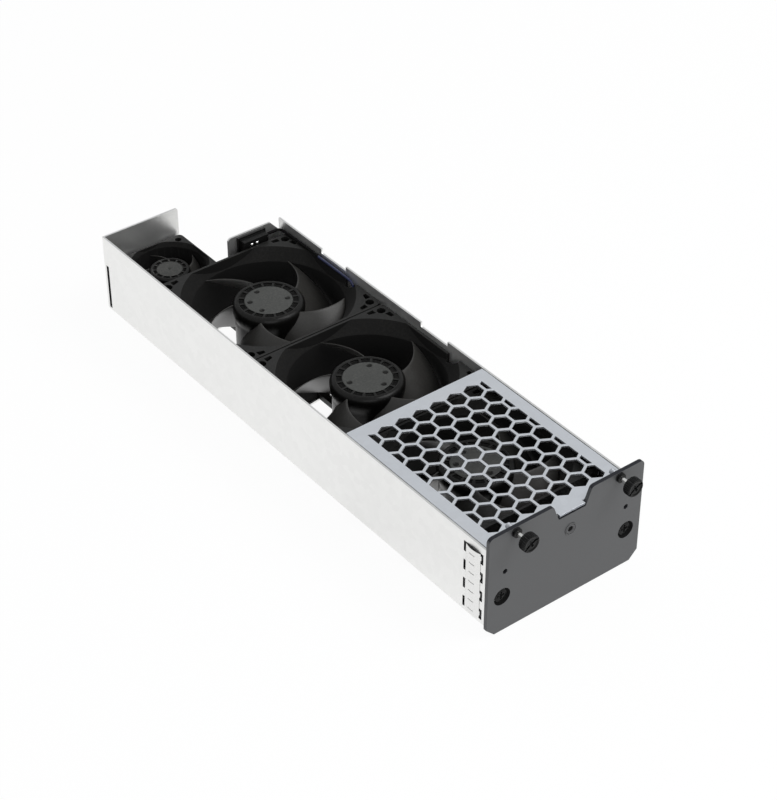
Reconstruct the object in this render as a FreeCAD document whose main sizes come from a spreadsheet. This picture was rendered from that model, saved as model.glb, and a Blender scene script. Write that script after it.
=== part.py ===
import FreeCAD, Part
import Sketcher
import math
import os

# A two-unit server fan tray: a bent sheet-metal tray that carries three 80 mm fans and one 40 mm fan.
# All lengths are millimetres. X runs across the front panel, Y from the panel to the rear, Z up.
# The origin is at the middle of the whole part, level with the lower edge of the front panel.

V = FreeCAD.Vector
ORIGIN_POINT = (-1, 1)

# Driving sizes: name, value, what it is
SIZES = [
    ("panel_over", 6.3, "front panel beyond the tray's right wall"),
    ("panel_rise", 6.8, "front panel above the tray's walls"),
    ("panel_thick", 2.0, "front panel sheet"),
    ("panel_drop", 5.4, "front panel below the tray floor"),
    ("panel_chamfer", 4.5, "cut lower corners of the panel"),
    ("panel_round", 2.5, "rounded upper corners of the panel"),
    ("notch_from_side", 35.8, "finger notch from the panel's left edge, at the top edge"),
    ("notch_top", 22.3, "finger notch width at the top edge"),
    ("notch_bottom", 15.4, "finger notch width at its floor"),
    ("notch_gap", 1.1, "floor of the finger notch below the grille plate"),
    ("notch_round", 2.0, "rounded shoulders of the finger notch"),
    ("sheet", 1.0, "tray and grille sheet"),
    ("bend_round", 1.4, "outside of the tray's bends"),
    ("fan_wall_gap", 0.2, "large fans to each side wall"),
    ("front_space", 15.9, "panel's back to the front large fan"),
    ("tab_space", 7.5, "rear large fan to the outside of the rear tab"),
    ("plate_space", 4.2, "large fans to the underside of the grille plate"),
    ("small_wall_gap", 4.3, "small fan to the left wall"),
    ("small_side_lap", 0.1, "small fan beyond the rear wall's free end"),
    ("small_front_lap", 1.5, "small fan in front of the rear tab's outside"),
    ("tab_gap", 4.0, "rear wall's free end to the rear tab's left edge"),
    ("relief_width", 6.6, "corner relief beside the rear tab, at its top"),
    ("relief_depth", 6.3, "depth of that relief"),
    ("rear_slot_width", 2.2, "relief slot beside the rear wall's bend"),
    ("rear_slot_top", 16.5, "top of that slot below the wall's edge"),
    ("wall_notch_length", 20.4, "lead notches in the right wall's top edge"),
    ("wall_notch_depth", 2.4, "depth of those notches"),
    ("ear_flange", 5.4, "front flange of the tray behind the panel's free end"),
    ("plate_length", 100.2, "grille plate from the panel's back"),
    ("plate_gap", 0.4, "gap between the grille plate and each wall"),
    ("ledge_width", 4.4, "ledges under the grille plate"),
    ("ledge_length", 9.0, "ledges along the wall"),
    ("ledge_start", 17.5, "front ledges from the panel's back"),
    ("hex_pitch", 10.0, "hexagonal holes, centre to centre"),
    ("hex_flats", 8.6, "hexagonal holes across flats"),
    ("hex_row_start", 11.3, "first row of holes from the panel's back"),
    ("hex_margin", 8.2, "outer limit of the holes from the tray's outer faces"),
    ("fan_side", 80.0, "large fan frame"),
    ("fan_height", 38.0, "large fan frame height"),
    ("fan_bore", 38.5, "large fan bore radius"),
    ("fan_flare", 43.5, "radius of the inlet flare at the top"),
    ("fan_flare_depth", 6.0, "depth of the inlet flare"),
    ("fan_rim", 0.015, "thickness of a frame's straight rim beside the flare, part of the frame's side"),
    ("fan_corner", 3.5, "rounded corners of the fan frame"),
    ("fan_screws", 71.5, "large fan screw holes, centre to centre"),
    ("fan_screw_hole", 2.2, "large fan screw hole radius"),
    ("fan_gap", 0.7, "gap between large fans"),
    ("lead_channel", 2.0, "lead channel in the side of a large fan's frame"),
    ("screw_bite", 6.0, "fan screws into the frame"),
    ("small_side", 40.0, "small fan frame"),
    ("small_height", 28.0, "small fan frame height"),
    ("small_bore", 19.1, "small fan bore radius"),
    ("small_flare", 20.6, "inlet flare radius of the small fan"),
    ("small_flare_depth", 2.4, "depth of that flare"),
    ("small_corner", 2.5, "rounded corners of the small frame"),
    ("small_screws", 32.0, "small fan screw holes, centre to centre"),
    ("small_screw_hole", 1.7, "small fan screw hole radius"),
    ("small_rear_gap", 1.0, "small fan frame to the rear wall"),
    ("vent_inset", 2.5, "floor vent radius less than half the fan frame"),
    ("base_lift", 0.6, "motor base above the foot of the frame"),
    ("base_thick", 3.0, "motor base and its struts"),
    ("strut_width", 4.0, "struts of the motor base"),
    ("hub_radius", 17.0, "large fan hub"),
    ("hub_wall", 1.4, "wall of the hub cup"),
    ("hub_sink", 2.8, "hub top below the top of the frame"),
    ("hub_window", 12.2, "opening in the hub top that shows the rotor cup"),
    ("hub_top", 1.2, "thickness of the hub top"),
    ("hub_clearance", 1.6, "hub above the motor base"),
    ("small_hub_radius", 10.0, "small fan hub"),
    ("small_hub_window", 6.9, "opening in the small hub top"),
    ("blade_gap", 0.8, "blade tips to the bore"),
    ("blade_thick", 2.4, "blade thickness along its circle"),
    ("blade_top", 1.8, "leading edges below the hub top"),
    ("blade_bottom", 2.6, "trailing edges above the hub's foot"),
    ("blade_wrap", 58.0, "angle that a blade winds through, in degrees"),
    ("blade_sweep", 36.0, "leading edge angle from hub to tip, in degrees"),
    ("shaft_radius", 1.5, "motor shaft"),
    ("running_gap", 0.03, "shaft clearance in its bearing"),
    ("tower_radius", 4.4, "bearing tower of the motor base, across flats from its axis"),
    ("tower_wall", 1.2, "wall of the bearing tower"),
    ("magnet_wall", 2.2, "rotor cup wall with its magnet ring"),
    ("air_gap", 0.6, "magnet to stator"),
    ("knob_inset", 14.6, "thumbscrews from the panel's edges"),
    ("knob_rise", 4.2, "thumbscrew axis above the tray's walls"),
    ("knob_radius", 4.5, "thumbscrew head"),
    ("knob_thick", 4.0, "thumbscrew head thickness"),
    ("knob_reach", 10.4, "thumbscrew head face in front of the panel"),
    ("ferrule_radius", 2.4, "captive ferrule in the panel"),
    ("ferrule_proud", 1.6, "ferrule in front of the panel"),
    ("thread_radius", 1.45, "thumbscrew thread"),
    ("shank_radius", 1.08, "thumbscrew shank"),
    ("slip", 0.05, "running clearance of the thumbscrew parts"),
    ("washer_radius", 2.3, "spring washer under the thumbscrew head"),
    ("washer_thick", 0.6, "thickness of that washer"),
    ("screw_inset", 8.3, "panel screws from the panel's edges"),
    ("screw_rise", 14.8, "panel screws above the tray's underside"),
    ("screw_head", 3.3, "panel screw head radius"),
    ("screw_shank", 1.5, "panel screw shank radius"),
    ("screw_relief", 6.0, "opening in the right wall beside the panel screw"),
    ("dimple_radius", 4.5, "sunk hole round each panel screw, at half its depth"),
    ("pilot_inset", 9.4, "pilot holes from the panel's edges"),
    ("pilot_rise", 28.8, "pilot holes above the tray's underside"),
    ("pilot_radius", 1.2, "pilot hole radius"),
    ("bush_drop", 10.9, "panel bush below the top of the tray's walls"),
    ("bush_offset", 2.0, "panel bush right of the panel's middle"),
    ("bush_radius", 3.2, "panel bush rim"),
    ("bush_bore", 1.2, "panel bush bore"),
    ("gasket_bulge", 1.3, "finger gasket outside the left wall"),
    ("gasket_thick", 0.3, "finger gasket strip"),
    ("gasket_front", 2.7, "front slots of the gasket from the panel's back"),
    ("gasket_span", 10.8, "front to rear slots of the gasket"),
    ("gasket_slot_width", 2.2, "gasket slots along the tray"),
    ("gasket_slot_height", 5.8, "gasket slots up the wall"),
    ("gasket_foot", 5.9, "lower slot centre above the tray's underside"),
    ("gasket_top", 6.8, "upper slot centre below the wall's edge"),
    ("tab_round", 2.0, "rounded upper corner of the rear tab"),
    ("window_inset", 6.2, "connector window from the tab's left edge"),
    ("window_width", 15.0, "connector window"),
    ("window_top", 2.0, "connector window below the tab's top"),
    ("window_height", 9.8, "connector window height"),
    ("contact_inset", 4.6, "first contact from the window's left edge"),
    ("contact_pitch", 3.2, "connector contacts"),
    ("housing_depth", 5.4, "connector housing inside the tab"),
    ("housing_wall", 1.6, "walls of the connector housing"),
    ("lead_radius", 0.7, "blue fan lead"),
    ("lead_bend", 4.2, "bend radius of the lead"),
]


class Size:
    """A length that knows its value and the spreadsheet formula that gives it."""

    def __init__(self, value, formula):
        self.value = float(value)
        self.formula = formula

    def __add__(self, other):
        other = as_size(other)
        return Size(self.value + other.value, f"({self.formula} + {other.formula})")

    def __sub__(self, other):
        other = as_size(other)
        return Size(self.value - other.value, f"({self.formula} - {other.formula})")

    def __mul__(self, other):
        other = as_size(other)
        return Size(self.value * other.value, f"({self.formula} * {other.formula})")

    def __truediv__(self, other):
        other = as_size(other)
        return Size(self.value / other.value, f"({self.formula} / {other.formula})")

    def __neg__(self):
        return Size(-self.value, f"(0 - {self.formula})")

    __radd__ = __add__
    __rmul__ = __mul__


def as_size(number):
    return number if isinstance(number, Size) else Size(number, f"{number:.6g}")


doc = FreeCAD.newDocument("fan_tray")
sheet_object = doc.addObject("Spreadsheet::Sheet", "Sizes")
for row, (alias, value, meaning) in enumerate(SIZES, start=1):
    sheet_object.set(f"A{row}", alias)
    sheet_object.set(f"B{row}", str(value))
    sheet_object.setAlias(f"B{row}", alias)
    sheet_object.set(f"C{row}", meaning)
doc.recompute()


class Sizes:
    """The spreadsheet's cells by name."""


S = Sizes()
for alias, value, meaning in SIZES:
    setattr(S, alias, Size(sheet_object.get(alias), f"Sizes.{alias}"))

ZERO = as_size(0)
nodes = []


# Sketches and features

def bind(owner, path, size):
    """Ties one property of an object to the spreadsheet."""
    owner.setExpression(path, as_size(size).formula)


def new_body(label, x=ZERO, y=ZERO, z=ZERO, rotation=None, keep=True):
    body = doc.addObject("PartDesign::Body", "Body_" + label)
    body.Label = label
    if rotation:
        body.Placement = FreeCAD.Placement(V(), rotation)
    bind(body, "Placement.Base.x", x)
    bind(body, "Placement.Base.y", y)
    bind(body, "Placement.Base.z", z)
    if keep:
        nodes.append(body)
    return body


def sketch_on(body, plane, level=ZERO):
    """An empty sketch parallel to one of the body's planes: XY, XZ (facing the front) or YZ."""
    sketch = body.newObject("Sketcher::SketchObject", f"{body.Name}_sketch")
    base = next(f for f in body.Origin.OriginFeatures if f.Role == plane + "_Plane")
    sketch.AttachmentSupport = [(base, "")]
    sketch.MapMode = "FlatFace"
    sketch.AttachmentOffset = FreeCAD.Placement(V(0, 0, level.value), FreeCAD.Rotation())
    side = -1 if plane == "XZ" else 1
    bind(sketch, "AttachmentOffset.Base.z", level * side)
    return sketch


def fix_point(sketch, geometry, end, x, y):
    """Holds one point of the sketch at (x, y), tied to the spreadsheet."""
    for kind, size in (("DistanceX", x), ("DistanceY", y)):
        size = as_size(size)
        index = sketch.addConstraint(Sketcher.Constraint(kind, *ORIGIN_POINT, geometry, end, size.value))
        bind(sketch, f"Constraints[{index}]", size)


def polygon(sketch, points):
    """A closed outline through the points, each held by the spreadsheet."""
    points = [(as_size(x), as_size(y)) for x, y in points]
    first = sketch.GeometryCount
    ends = points[1:] + points[:1]
    for (ax, ay), (bx, by) in zip(points, ends):
        sketch.addGeometry(Part.LineSegment(V(ax.value, ay.value, 0), V(bx.value, by.value, 0)), False)
    count = len(points)
    for k in range(count):
        follower = first + (k + 1) % count
        sketch.addConstraint(Sketcher.Constraint("Coincident", first + k, 2, follower, 1))
    for k, (x, y) in enumerate(points):
        fix_point(sketch, first + k, 1, x, y)


def rectangle(sketch, left, bottom, width, height):
    left, bottom = as_size(left), as_size(bottom)
    right, top = left + width, bottom + height
    polygon(sketch, [(left, bottom), (right, bottom), (right, top), (left, top)])


def circle(sketch, x, y, radius):
    x, y, radius = as_size(x), as_size(y), as_size(radius)
    index = sketch.addGeometry(Part.Circle(V(x.value, y.value, 0), V(0, 0, 1), radius.value), False)
    fix_point(sketch, index, 3, x, y)
    rule = sketch.addConstraint(Sketcher.Constraint("Radius", index, radius.value))
    bind(sketch, f"Constraints[{rule}]", radius)


def flats(sketch, x, y, radius, count=6):
    """An even outline of plane sides round a circle of the radius."""
    corner = radius / math.cos(math.pi / count)
    turns = [math.pi / count * (1 + 2 * k) for k in range(count)]
    polygon(sketch, [(x + corner * math.cos(a), y + corner * math.sin(a)) for a in turns])


def pad(body, sketch, length, reverse=False):
    feature = body.newObject("PartDesign::Pad", f"{body.Name}_pad")
    feature.Profile = sketch
    feature.Reversed = reverse
    bind(feature, "Length", length)
    doc.recompute()
    return feature


def pocket(body, sketch, depth):
    """Cuts from the sketch against its normal: down, to the rear or to the left."""
    before = body.Shape.Volume
    feature = body.newObject("PartDesign::Pocket", f"{body.Name}_pocket")
    feature.Profile = sketch
    bind(feature, "Length", depth)
    doc.recompute()
    if not body.Shape.Volume < before - 1e-6:
        raise RuntimeError(f"a pocket of {body.Label} cuts nothing")
    return feature


def revolve(body, sketch, cut=False):
    kind = "PartDesign::Groove" if cut else "PartDesign::Revolution"
    feature = body.newObject(kind, f"{body.Name}_turn")
    feature.Profile = sketch
    feature.ReferenceAxis = (sketch, ["V_Axis"])
    feature.Angle = 360
    doc.recompute()
    return feature


def set_tip(body, feature):
    body.Tip = feature
    doc.recompute()
    if not feature.isValid():
        raise RuntimeError(f"{feature.Name} of {body.Label} failed")
    return feature


def row_of(body, feature, axis, pitch, count, reverse=False):
    pattern = body.newObject("PartDesign::LinearPattern", f"{body.Name}_row")
    pattern.Originals = [feature]
    line = next(f for f in body.Origin.OriginFeatures if f.Role == axis + "_Axis")
    pattern.Direction = (line, [""])
    pattern.Occurrences = count
    pattern.Reversed = reverse
    bind(pattern, "Length", as_size(pitch) * (count - 1))
    return set_tip(body, pattern)


def ring_of(body, feature, count):
    pattern = body.newObject("PartDesign::PolarPattern", f"{body.Name}_ring")
    pattern.Originals = [feature]
    line = next(f for f in body.Origin.OriginFeatures if f.Role == "Z_Axis")
    pattern.Axis = (line, [""])
    pattern.Angle = 360
    pattern.Occurrences = count
    return set_tip(body, pattern)


def edges_where(body, test):
    """Names of the body's edges that pass the test."""
    return [f"Edge{i}" for i, edge in enumerate(body.Tip.Shape.Edges, start=1) if test(edge)]


def round_edges(body, test, radius):
    base, names = body.Tip, edges_where(body, test)
    if not names:
        raise RuntimeError(f"no edge of {body.Label} to round")
    feature = body.newObject("PartDesign::Fillet", f"{body.Name}_round")
    feature.Base = (base, names)
    bind(feature, "Radius", radius)
    return set_tip(body, feature)


def near(a, b):
    return abs(a - b) < 1e-4


def runs_along(edge, direction):
    """A straight edge along the direction."""
    if len(edge.Vertexes) != 2 or edge.Curve.TypeId != "Part::GeomLine":
        return False
    span = edge.Vertexes[1].Point - edge.Vertexes[0].Point
    return abs(abs(span.normalize().dot(direction)) - 1) < 1e-6


def turned(label, profile, x=ZERO, y=ZERO, z=ZERO, rotation=None, keep=True):
    """A piece turned about its own Z axis from a profile of (radius, height) points."""
    body = new_body(label, x, y, z, rotation, keep)
    sketch = sketch_on(body, "XZ")
    polygon(sketch, profile)
    revolve(body, sketch)
    return body


# Main places, all from the driving sizes

FAN_COUNT = 3
fan_pitch = S.fan_side + S.fan_gap
inner_width = S.fan_side + 2 * S.fan_wall_gap
tray_width = inner_width + 2 * S.sheet
wall_height = S.fan_height + S.plate_space + 2 * S.sheet
right_length = S.front_space + S.fan_side + fan_pitch * (FAN_COUNT - 1) + S.tab_space
extension_width = S.sheet + S.small_wall_gap + S.small_side - S.small_side_lap
extension_length = S.small_side + S.small_rear_gap + S.sheet - S.small_front_lap
tab_inset = extension_width + S.tab_gap
tray_length = right_length + extension_length
panel_width = tray_width + S.panel_over

left = -(panel_width + S.gasket_bulge) / 2 + S.gasket_bulge
panel_right = left + panel_width
right = left + tray_width
inner_left = left + S.sheet
inner_right = right - S.sheet
front = S.knob_reach - (S.knob_reach + S.panel_thick + tray_length) / 2
back = front + S.panel_thick
rear = back + tray_length
tab_back = back + right_length
floor_under = S.panel_drop
floor_top = floor_under + S.sheet
wall_top = floor_under + wall_height
plate_under = wall_top - S.sheet
panel_top = wall_top + S.panel_rise
knob_height = wall_top + S.knob_rise
screw_height = floor_under + S.screw_rise
pilot_height = floor_under + S.pilot_rise
bush_height = wall_top - S.bush_drop
gasket_pitch = (wall_height - S.gasket_top - S.gasket_foot) / 3
fan_x = left + tray_width / 2
rear_fan_y = tab_back - S.tab_space - S.fan_side / 2
small_x = left + S.sheet + S.small_wall_gap + S.small_side / 2
small_y = rear - S.sheet - S.small_rear_gap - S.small_side / 2
CUP_SIDES = 24
SCREW_SIDES = 8
CUT_OVER = 0.5

FACING_FRONT = FreeCAD.Rotation(V(1, 0, 0), 90)


# Tray: floor, two walls, front flange, rear wall and rear tab of one bent sheet

def vent_and_screw_holes(body, x, y, side, spacing, hole):
    sketch = sketch_on(body, "XY", floor_top)
    circle(sketch, x, y, side / 2 - S.vent_inset)
    for sx in (-1, 1):
        for sy in (-1, 1):
            flats(sketch, x + spacing / 2 * sx, y + spacing / 2 * sy, hole, SCREW_SIDES)
    return pocket(body, sketch, S.sheet * 2)


def make_tray():
    body = new_body("tray")
    block = sketch_on(body, "XY", floor_under)
    polygon(block, [
        (left, back), (right, back), (right, tab_back), (left + extension_width, tab_back),
        (left + extension_width, rear), (left, rear),
    ])
    pad(body, block, wall_height)

    inside = sketch_on(body, "XY", wall_top)
    rectangle(inside, inner_left, back + S.sheet, inner_width, right_length - 2 * S.sheet)
    pocket(body, inside, wall_height - S.sheet)
    annex = sketch_on(body, "XY", wall_top)
    annex_start = tab_back - 2 * S.sheet
    rectangle(annex, inner_left, annex_start, tab_inset - S.sheet, rear - S.sheet - annex_start)
    pocket(body, annex, wall_height - S.sheet)

    ear = sketch_on(body, "XY", floor_under)
    rectangle(ear, right - CUT_OVER, back, S.ear_flange + CUT_OVER, S.sheet)
    pad(body, ear, wall_height - S.sheet)
    lip = sketch_on(body, "XY", wall_top)
    rectangle(lip, inner_left, back - CUT_OVER, inner_width, S.sheet + 2 * CUT_OVER)
    pocket(body, lip, S.sheet + 0.1)

    vents = vent_and_screw_holes(body, fan_x, rear_fan_y, S.fan_side, S.fan_screws, S.fan_screw_hole)
    row_of(body, vents, "Y", fan_pitch, FAN_COUNT, reverse=True)
    vent_and_screw_holes(body, small_x, small_y, S.small_side, S.small_screws, S.small_screw_hole)

    notch = sketch_on(body, "XY", wall_top)
    rectangle(notch, inner_right - CUT_OVER, rear_fan_y - S.wall_notch_length / 2,
              S.sheet + 2 * CUT_OVER, S.wall_notch_length)
    row_of(body, pocket(body, notch, S.wall_notch_depth), "Y", fan_pitch, FAN_COUNT - 1, reverse=True)

    relief = sketch_on(body, "XZ", tab_back - S.sheet - CUT_OVER)
    polygon(relief, [
        (inner_right - S.relief_width, wall_top + CUT_OVER), (inner_right - CUT_OVER, wall_top - S.relief_depth),
        (inner_right, wall_top - S.relief_depth), (inner_right, wall_top + CUT_OVER),
    ])
    pocket(body, relief, S.sheet + 2 * CUT_OVER)
    window = sketch_on(body, "XZ", tab_back - S.sheet - CUT_OVER)
    rectangle(window, left + tab_inset + S.window_inset, wall_top - S.window_top - S.window_height,
              S.window_width, S.window_height)
    pocket(body, window, S.sheet + 2 * CUT_OVER)

    holes = sketch_on(body, "XZ", back - CUT_OVER)
    for side, edge in ((1, left), (-1, panel_right)):
        circle(holes, edge + S.screw_inset * side, screw_height, S.screw_shank)
        flats(holes, edge + S.pilot_inset * side, pilot_height, S.pilot_radius)
    pocket(body, holes, S.sheet + 2 * CUT_OVER)
    clearance = sketch_on(body, "YZ", right + CUT_OVER)
    rectangle(clearance, back + S.sheet, screw_height - S.screw_head, S.screw_relief, 2 * S.screw_head)
    pocket(body, clearance, S.sheet + 2 * CUT_OVER)

    bend_slot = sketch_on(body, "YZ", inner_left + CUT_OVER)
    rectangle(bend_slot, rear - S.sheet - S.rear_slot_width - 0.8, floor_top + S.sheet, S.rear_slot_width,
              wall_height - 2 * S.sheet - S.rear_slot_top)
    pocket(body, bend_slot, S.sheet + 2 * CUT_OVER)
    hooks = sketch_on(body, "YZ", inner_left + CUT_OVER)
    for start in (S.gasket_front, S.gasket_front + S.gasket_span):
        rectangle(hooks, back + start - S.gasket_slot_width / 2,
                  wall_top - S.gasket_top - S.gasket_slot_height / 2, S.gasket_slot_width, S.gasket_slot_height)
    row_of(body, pocket(body, hooks, S.sheet + 2 * CUT_OVER), "Z", gasket_pitch, 4, reverse=True)

    ledges = sketch_on(body, "XY", plate_under)
    for start in (S.ledge_start, S.plate_length - S.ledge_length - S.sheet):
        rectangle(ledges, inner_left - CUT_OVER, back + start, S.ledge_width + CUT_OVER, S.ledge_length)
        rectangle(ledges, inner_right - S.ledge_width, back + start, S.ledge_width + CUT_OVER, S.ledge_length)
    pad(body, ledges, S.sheet, reverse=True)

    def long_bend(edge):
        centre = edge.CenterOfMass
        outside = near(centre.x, left.value) or near(centre.x, right.value)
        return runs_along(edge, V(0, 1, 0)) and outside and near(centre.z, floor_under.value)

    def rear_top(edge):
        centre = edge.CenterOfMass
        at_end = near(centre.x, (left + extension_width).value) and near(centre.y, (rear - S.sheet / 2).value)
        return runs_along(edge, V(0, 1, 0)) and at_end and near(centre.z, wall_top.value)

    def tab_top(edge):
        centre = edge.CenterOfMass
        at_tab = near(centre.x, (left + tab_inset).value) and near(centre.y, (tab_back - S.sheet / 2).value)
        return runs_along(edge, V(0, 1, 0)) and at_tab and near(centre.z, wall_top.value)

    round_edges(body, long_bend, S.bend_round)
    round_edges(body, rear_top, S.panel_round / 2)
    round_edges(body, tab_top, S.tab_round)
    return body


# Front panel: a painted plate with a finger notch, cut lower corners and sunk screw holes

def make_panel():
    body = new_body("front_panel")
    outline = sketch_on(body, "XZ", back)
    notch_left = left + S.notch_from_side
    notch_slope = (S.notch_top - S.notch_bottom) / 2
    top, notch_floor = panel_top, plate_under - S.notch_gap
    polygon(outline, [
        (left + S.panel_chamfer, ZERO), (panel_right - S.panel_chamfer, ZERO), (panel_right, S.panel_chamfer),
        (panel_right, top), (notch_left + S.notch_top, top),
        (notch_left + notch_slope + S.notch_bottom, notch_floor), (notch_left + notch_slope, notch_floor),
        (notch_left, top), (left, top), (left, S.panel_chamfer),
    ])
    pad(body, outline, S.panel_thick)

    def corner(edge):
        centre = edge.CenterOfMass
        return runs_along(edge, V(0, 1, 0)) and near(centre.z, top.value) and (
            near(centre.x, left.value) or near(centre.x, panel_right.value))

    def shoulder(edge):
        centre = edge.CenterOfMass
        ends = (notch_left.value, (notch_left + S.notch_top).value)
        return runs_along(edge, V(0, 1, 0)) and near(centre.z, top.value) and any(near(centre.x, e) for e in ends)

    round_edges(body, corner, S.panel_round)
    round_edges(body, shoulder, S.notch_round)
    holes = sketch_on(body, "XZ", front - CUT_OVER)
    for side, edge in ((1, left), (-1, panel_right)):
        circle(holes, edge + S.screw_inset * side, screw_height, S.dimple_radius)
        flats(holes, edge + S.pilot_inset * side, pilot_height, S.pilot_radius)
        circle(holes, edge + S.knob_inset * side, knob_height, S.ferrule_radius)
    circle(holes, (left + panel_right) / 2 + S.bush_offset, bush_height, S.bush_radius)
    pocket(body, holes, S.panel_thick + 2 * CUT_OVER)
    return body


# Grille plate: a flat plate with a tongue in the panel's notch and rows of hexagonal holes

def hexagon(x, y, flats):
    """Corner points of a hexagon that has its neighbours along X."""
    corner = flats / math.sqrt(3)
    turns = [math.radians(30 + 60 * k) for k in range(6)]
    return [(x + corner * math.cos(a), y + corner * math.sin(a)) for a in turns]


def clip(points, low, high):
    """The part of a convex outline between two X limits."""
    for limit, keep_low in ((low, False), (high, True)):
        kept = []
        for (ax, ay), (bx, by) in zip(points, points[1:] + points[:1]):
            a_in = ax <= limit if keep_low else ax >= limit
            b_in = bx <= limit if keep_low else bx >= limit
            if a_in:
                kept.append((ax, ay))
            if a_in != b_in:
                kept.append((limit, ay + (by - ay) * (limit - ax) / (bx - ax)))
        points = kept
    return points


def make_grille():
    body = new_body("grille_plate")
    notch_left = left + S.notch_from_side
    tongue_left = notch_left + (S.notch_top - S.notch_bottom) / 2 + 0.4
    tongue_right = tongue_left + S.notch_bottom - 0.8
    plate_left, plate_right = inner_left + S.plate_gap, inner_right - S.plate_gap
    plate_end = back + S.plate_length
    outline = sketch_on(body, "XY", plate_under)
    polygon(outline, [
        (tongue_left, front), (tongue_right, front), (tongue_right, back + 0.1), (plate_right, back + 0.1),
        (plate_right, plate_end), (plate_left, plate_end), (plate_left, back + 0.1), (tongue_left, back + 0.1),
    ])
    pad(body, outline, S.sheet)
    holes = sketch_on(body, "XY", wall_top)
    pitch = S.hex_pitch.value
    step = pitch * math.sqrt(3) / 2
    low = (left + S.hex_margin).value
    high = (right - S.hex_margin + S.sheet / 2).value
    first = low + S.hex_flats.value / 2 - 0.6
    rows = int((plate_end.value - back.value - S.hex_row_start.value - pitch / 2) / step) + 1
    across = int((high - low) / pitch)
    for j in range(rows):
        y = (back + S.hex_row_start).value + j * step
        shift = pitch / 2 if j % 2 else 0.0
        for i in range(-1, across + 1):
            x = first + i * pitch + shift
            points = clip(hexagon(x, y, S.hex_flats.value), low, high)
            wide = max((p[0] for p in points), default=0) - min((p[0] for p in points), default=0)
            if wide > pitch / 8:
                ends = points[1:] + points[:1]
                for a, b in zip(points, ends):
                    holes.addGeometry(Part.LineSegment(V(*a, 0), V(*b, 0)), False)
    pocket(body, holes, S.sheet * 2)
    return body


# Fans

def make_frame(label, side, height, bore, flare, flare_depth, corner, screws, hole, hub, tower, lead):
    """Square frame with a flared bore, pocketed corners, motor base, struts and bearing tower."""
    body = new_body(label, keep=False)
    outline = sketch_on(body, "XY")
    rectangle(outline, -side / 2, -side / 2, side, side)
    pad(body, outline, height)
    round_edges(body, lambda edge: runs_along(edge, V(0, 0, 1)), corner)
    opening = sketch_on(body, "XY", height)
    circle(opening, ZERO, ZERO, bore)
    pocket(body, opening, height)
    mouth = sketch_on(body, "XZ")
    polygon(mouth, [(bore - 1, height), (flare, height), (bore, height - flare_depth),
                    (bore - 1, height - flare_depth)])
    revolve(body, mouth, cut=True)
    rim = sketch_on(body, "XY", height - flare_depth)
    rectangle(rim, corner - side / 2, side / 2 - side * S.fan_rim, side - 2 * corner, side * S.fan_rim)
    ring_of(body, pad(body, rim, flare_depth), 4)
    corners = sketch_on(body, "XY", height)
    flats(corners, screws / 2, screws / 2, hole, SCREW_SIDES)
    if lead:
        reach = side / 2
        for flip in (False, True):
            near_end, far_end = reach * 0.815, reach * 0.72
            points = [(reach * 0.89, near_end), (reach * 0.965, near_end), (reach * 0.965, far_end),
                      (reach * 0.915, far_end)]
            polygon(corners, [(y, x) if flip else (x, y) for x, y in points])
    ring_of(body, pocket(body, corners, height), 4)
    if lead:
        channel = sketch_on(body, "XY", height)
        rectangle(channel, side / 2 - S.lead_channel, -side / 4, side / 8, side / 10)
        pocket(body, channel, height - S.base_thick)
    base = sketch_on(body, "XY", S.base_lift)
    flats(base, ZERO, ZERO, hub - 0.5, 12)
    pad(body, base, S.base_thick)
    strut = sketch_on(body, "XY", S.base_lift)
    rectangle(strut, hub - 2, -S.strut_width / 2, bore - hub + 2.6, S.strut_width)
    ring_of(body, pad(body, strut, S.base_thick), 4)
    post = sketch_on(body, "XY", S.base_lift)
    flats(post, ZERO, ZERO, tower, 8)
    pad(body, post, height * 0.62)
    well = sketch_on(body, "XY", height)
    flats(well, ZERO, ZERO, tower - S.tower_wall)
    pocket(body, well, height - S.base_lift - 1)
    return body


def blade_solid(hub, tip, low, high):
    """A twisted, forward-swept blade: plane facets between a leading edge on top and a trailing edge below."""
    reach = (0.0, 0.36, 0.7, 1.0)
    rise = (0.0, 0.15, 0.33, 0.52, 0.76, 1.0)
    wrap, sweep = math.radians(S.blade_wrap.value), math.radians(S.blade_sweep.value)

    def point(across, up, side):
        radius = hub + (tip - hub) * across
        thick = S.blade_thick.value * (0.3 + 0.7 * math.sin(math.pi * (0.1 + 0.8 * up)))
        angle = sweep * (across - 0.5) - wrap * (1 - up) + side * thick / 2 / radius
        return V(radius * math.cos(angle), radius * math.sin(angle), low + (high - low) * up)

    ahead = [[point(a, u, 1) for u in rise] for a in reach]
    behind = [[point(a, u, -1) for u in rise] for a in reach]
    triangles = []

    def quad(a, b, c, d):
        triangles.extend([(a, b, c), (a, c, d)])

    for i in range(len(reach) - 1):
        for j in range(len(rise) - 1):
            quad(ahead[i][j], ahead[i + 1][j], ahead[i + 1][j + 1], ahead[i][j + 1])
            quad(behind[i][j], behind[i][j + 1], behind[i + 1][j + 1], behind[i + 1][j])
        for j in (0, -1):
            quad(ahead[i][j], behind[i][j], behind[i + 1][j], ahead[i + 1][j])
    for j in range(len(rise) - 1):
        for i in (0, -1):
            quad(ahead[i][j], ahead[i][j + 1], behind[i][j + 1], behind[i][j])
    faces = [Part.Face(Part.makePolygon([*corners, corners[0]])) for corners in triangles]
    shell = Part.makeShell(faces)
    shell.sewShape()
    solid = Part.makeSolid(shell)
    if solid.Volume < 0:
        solid.reverse()
    return solid


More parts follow.
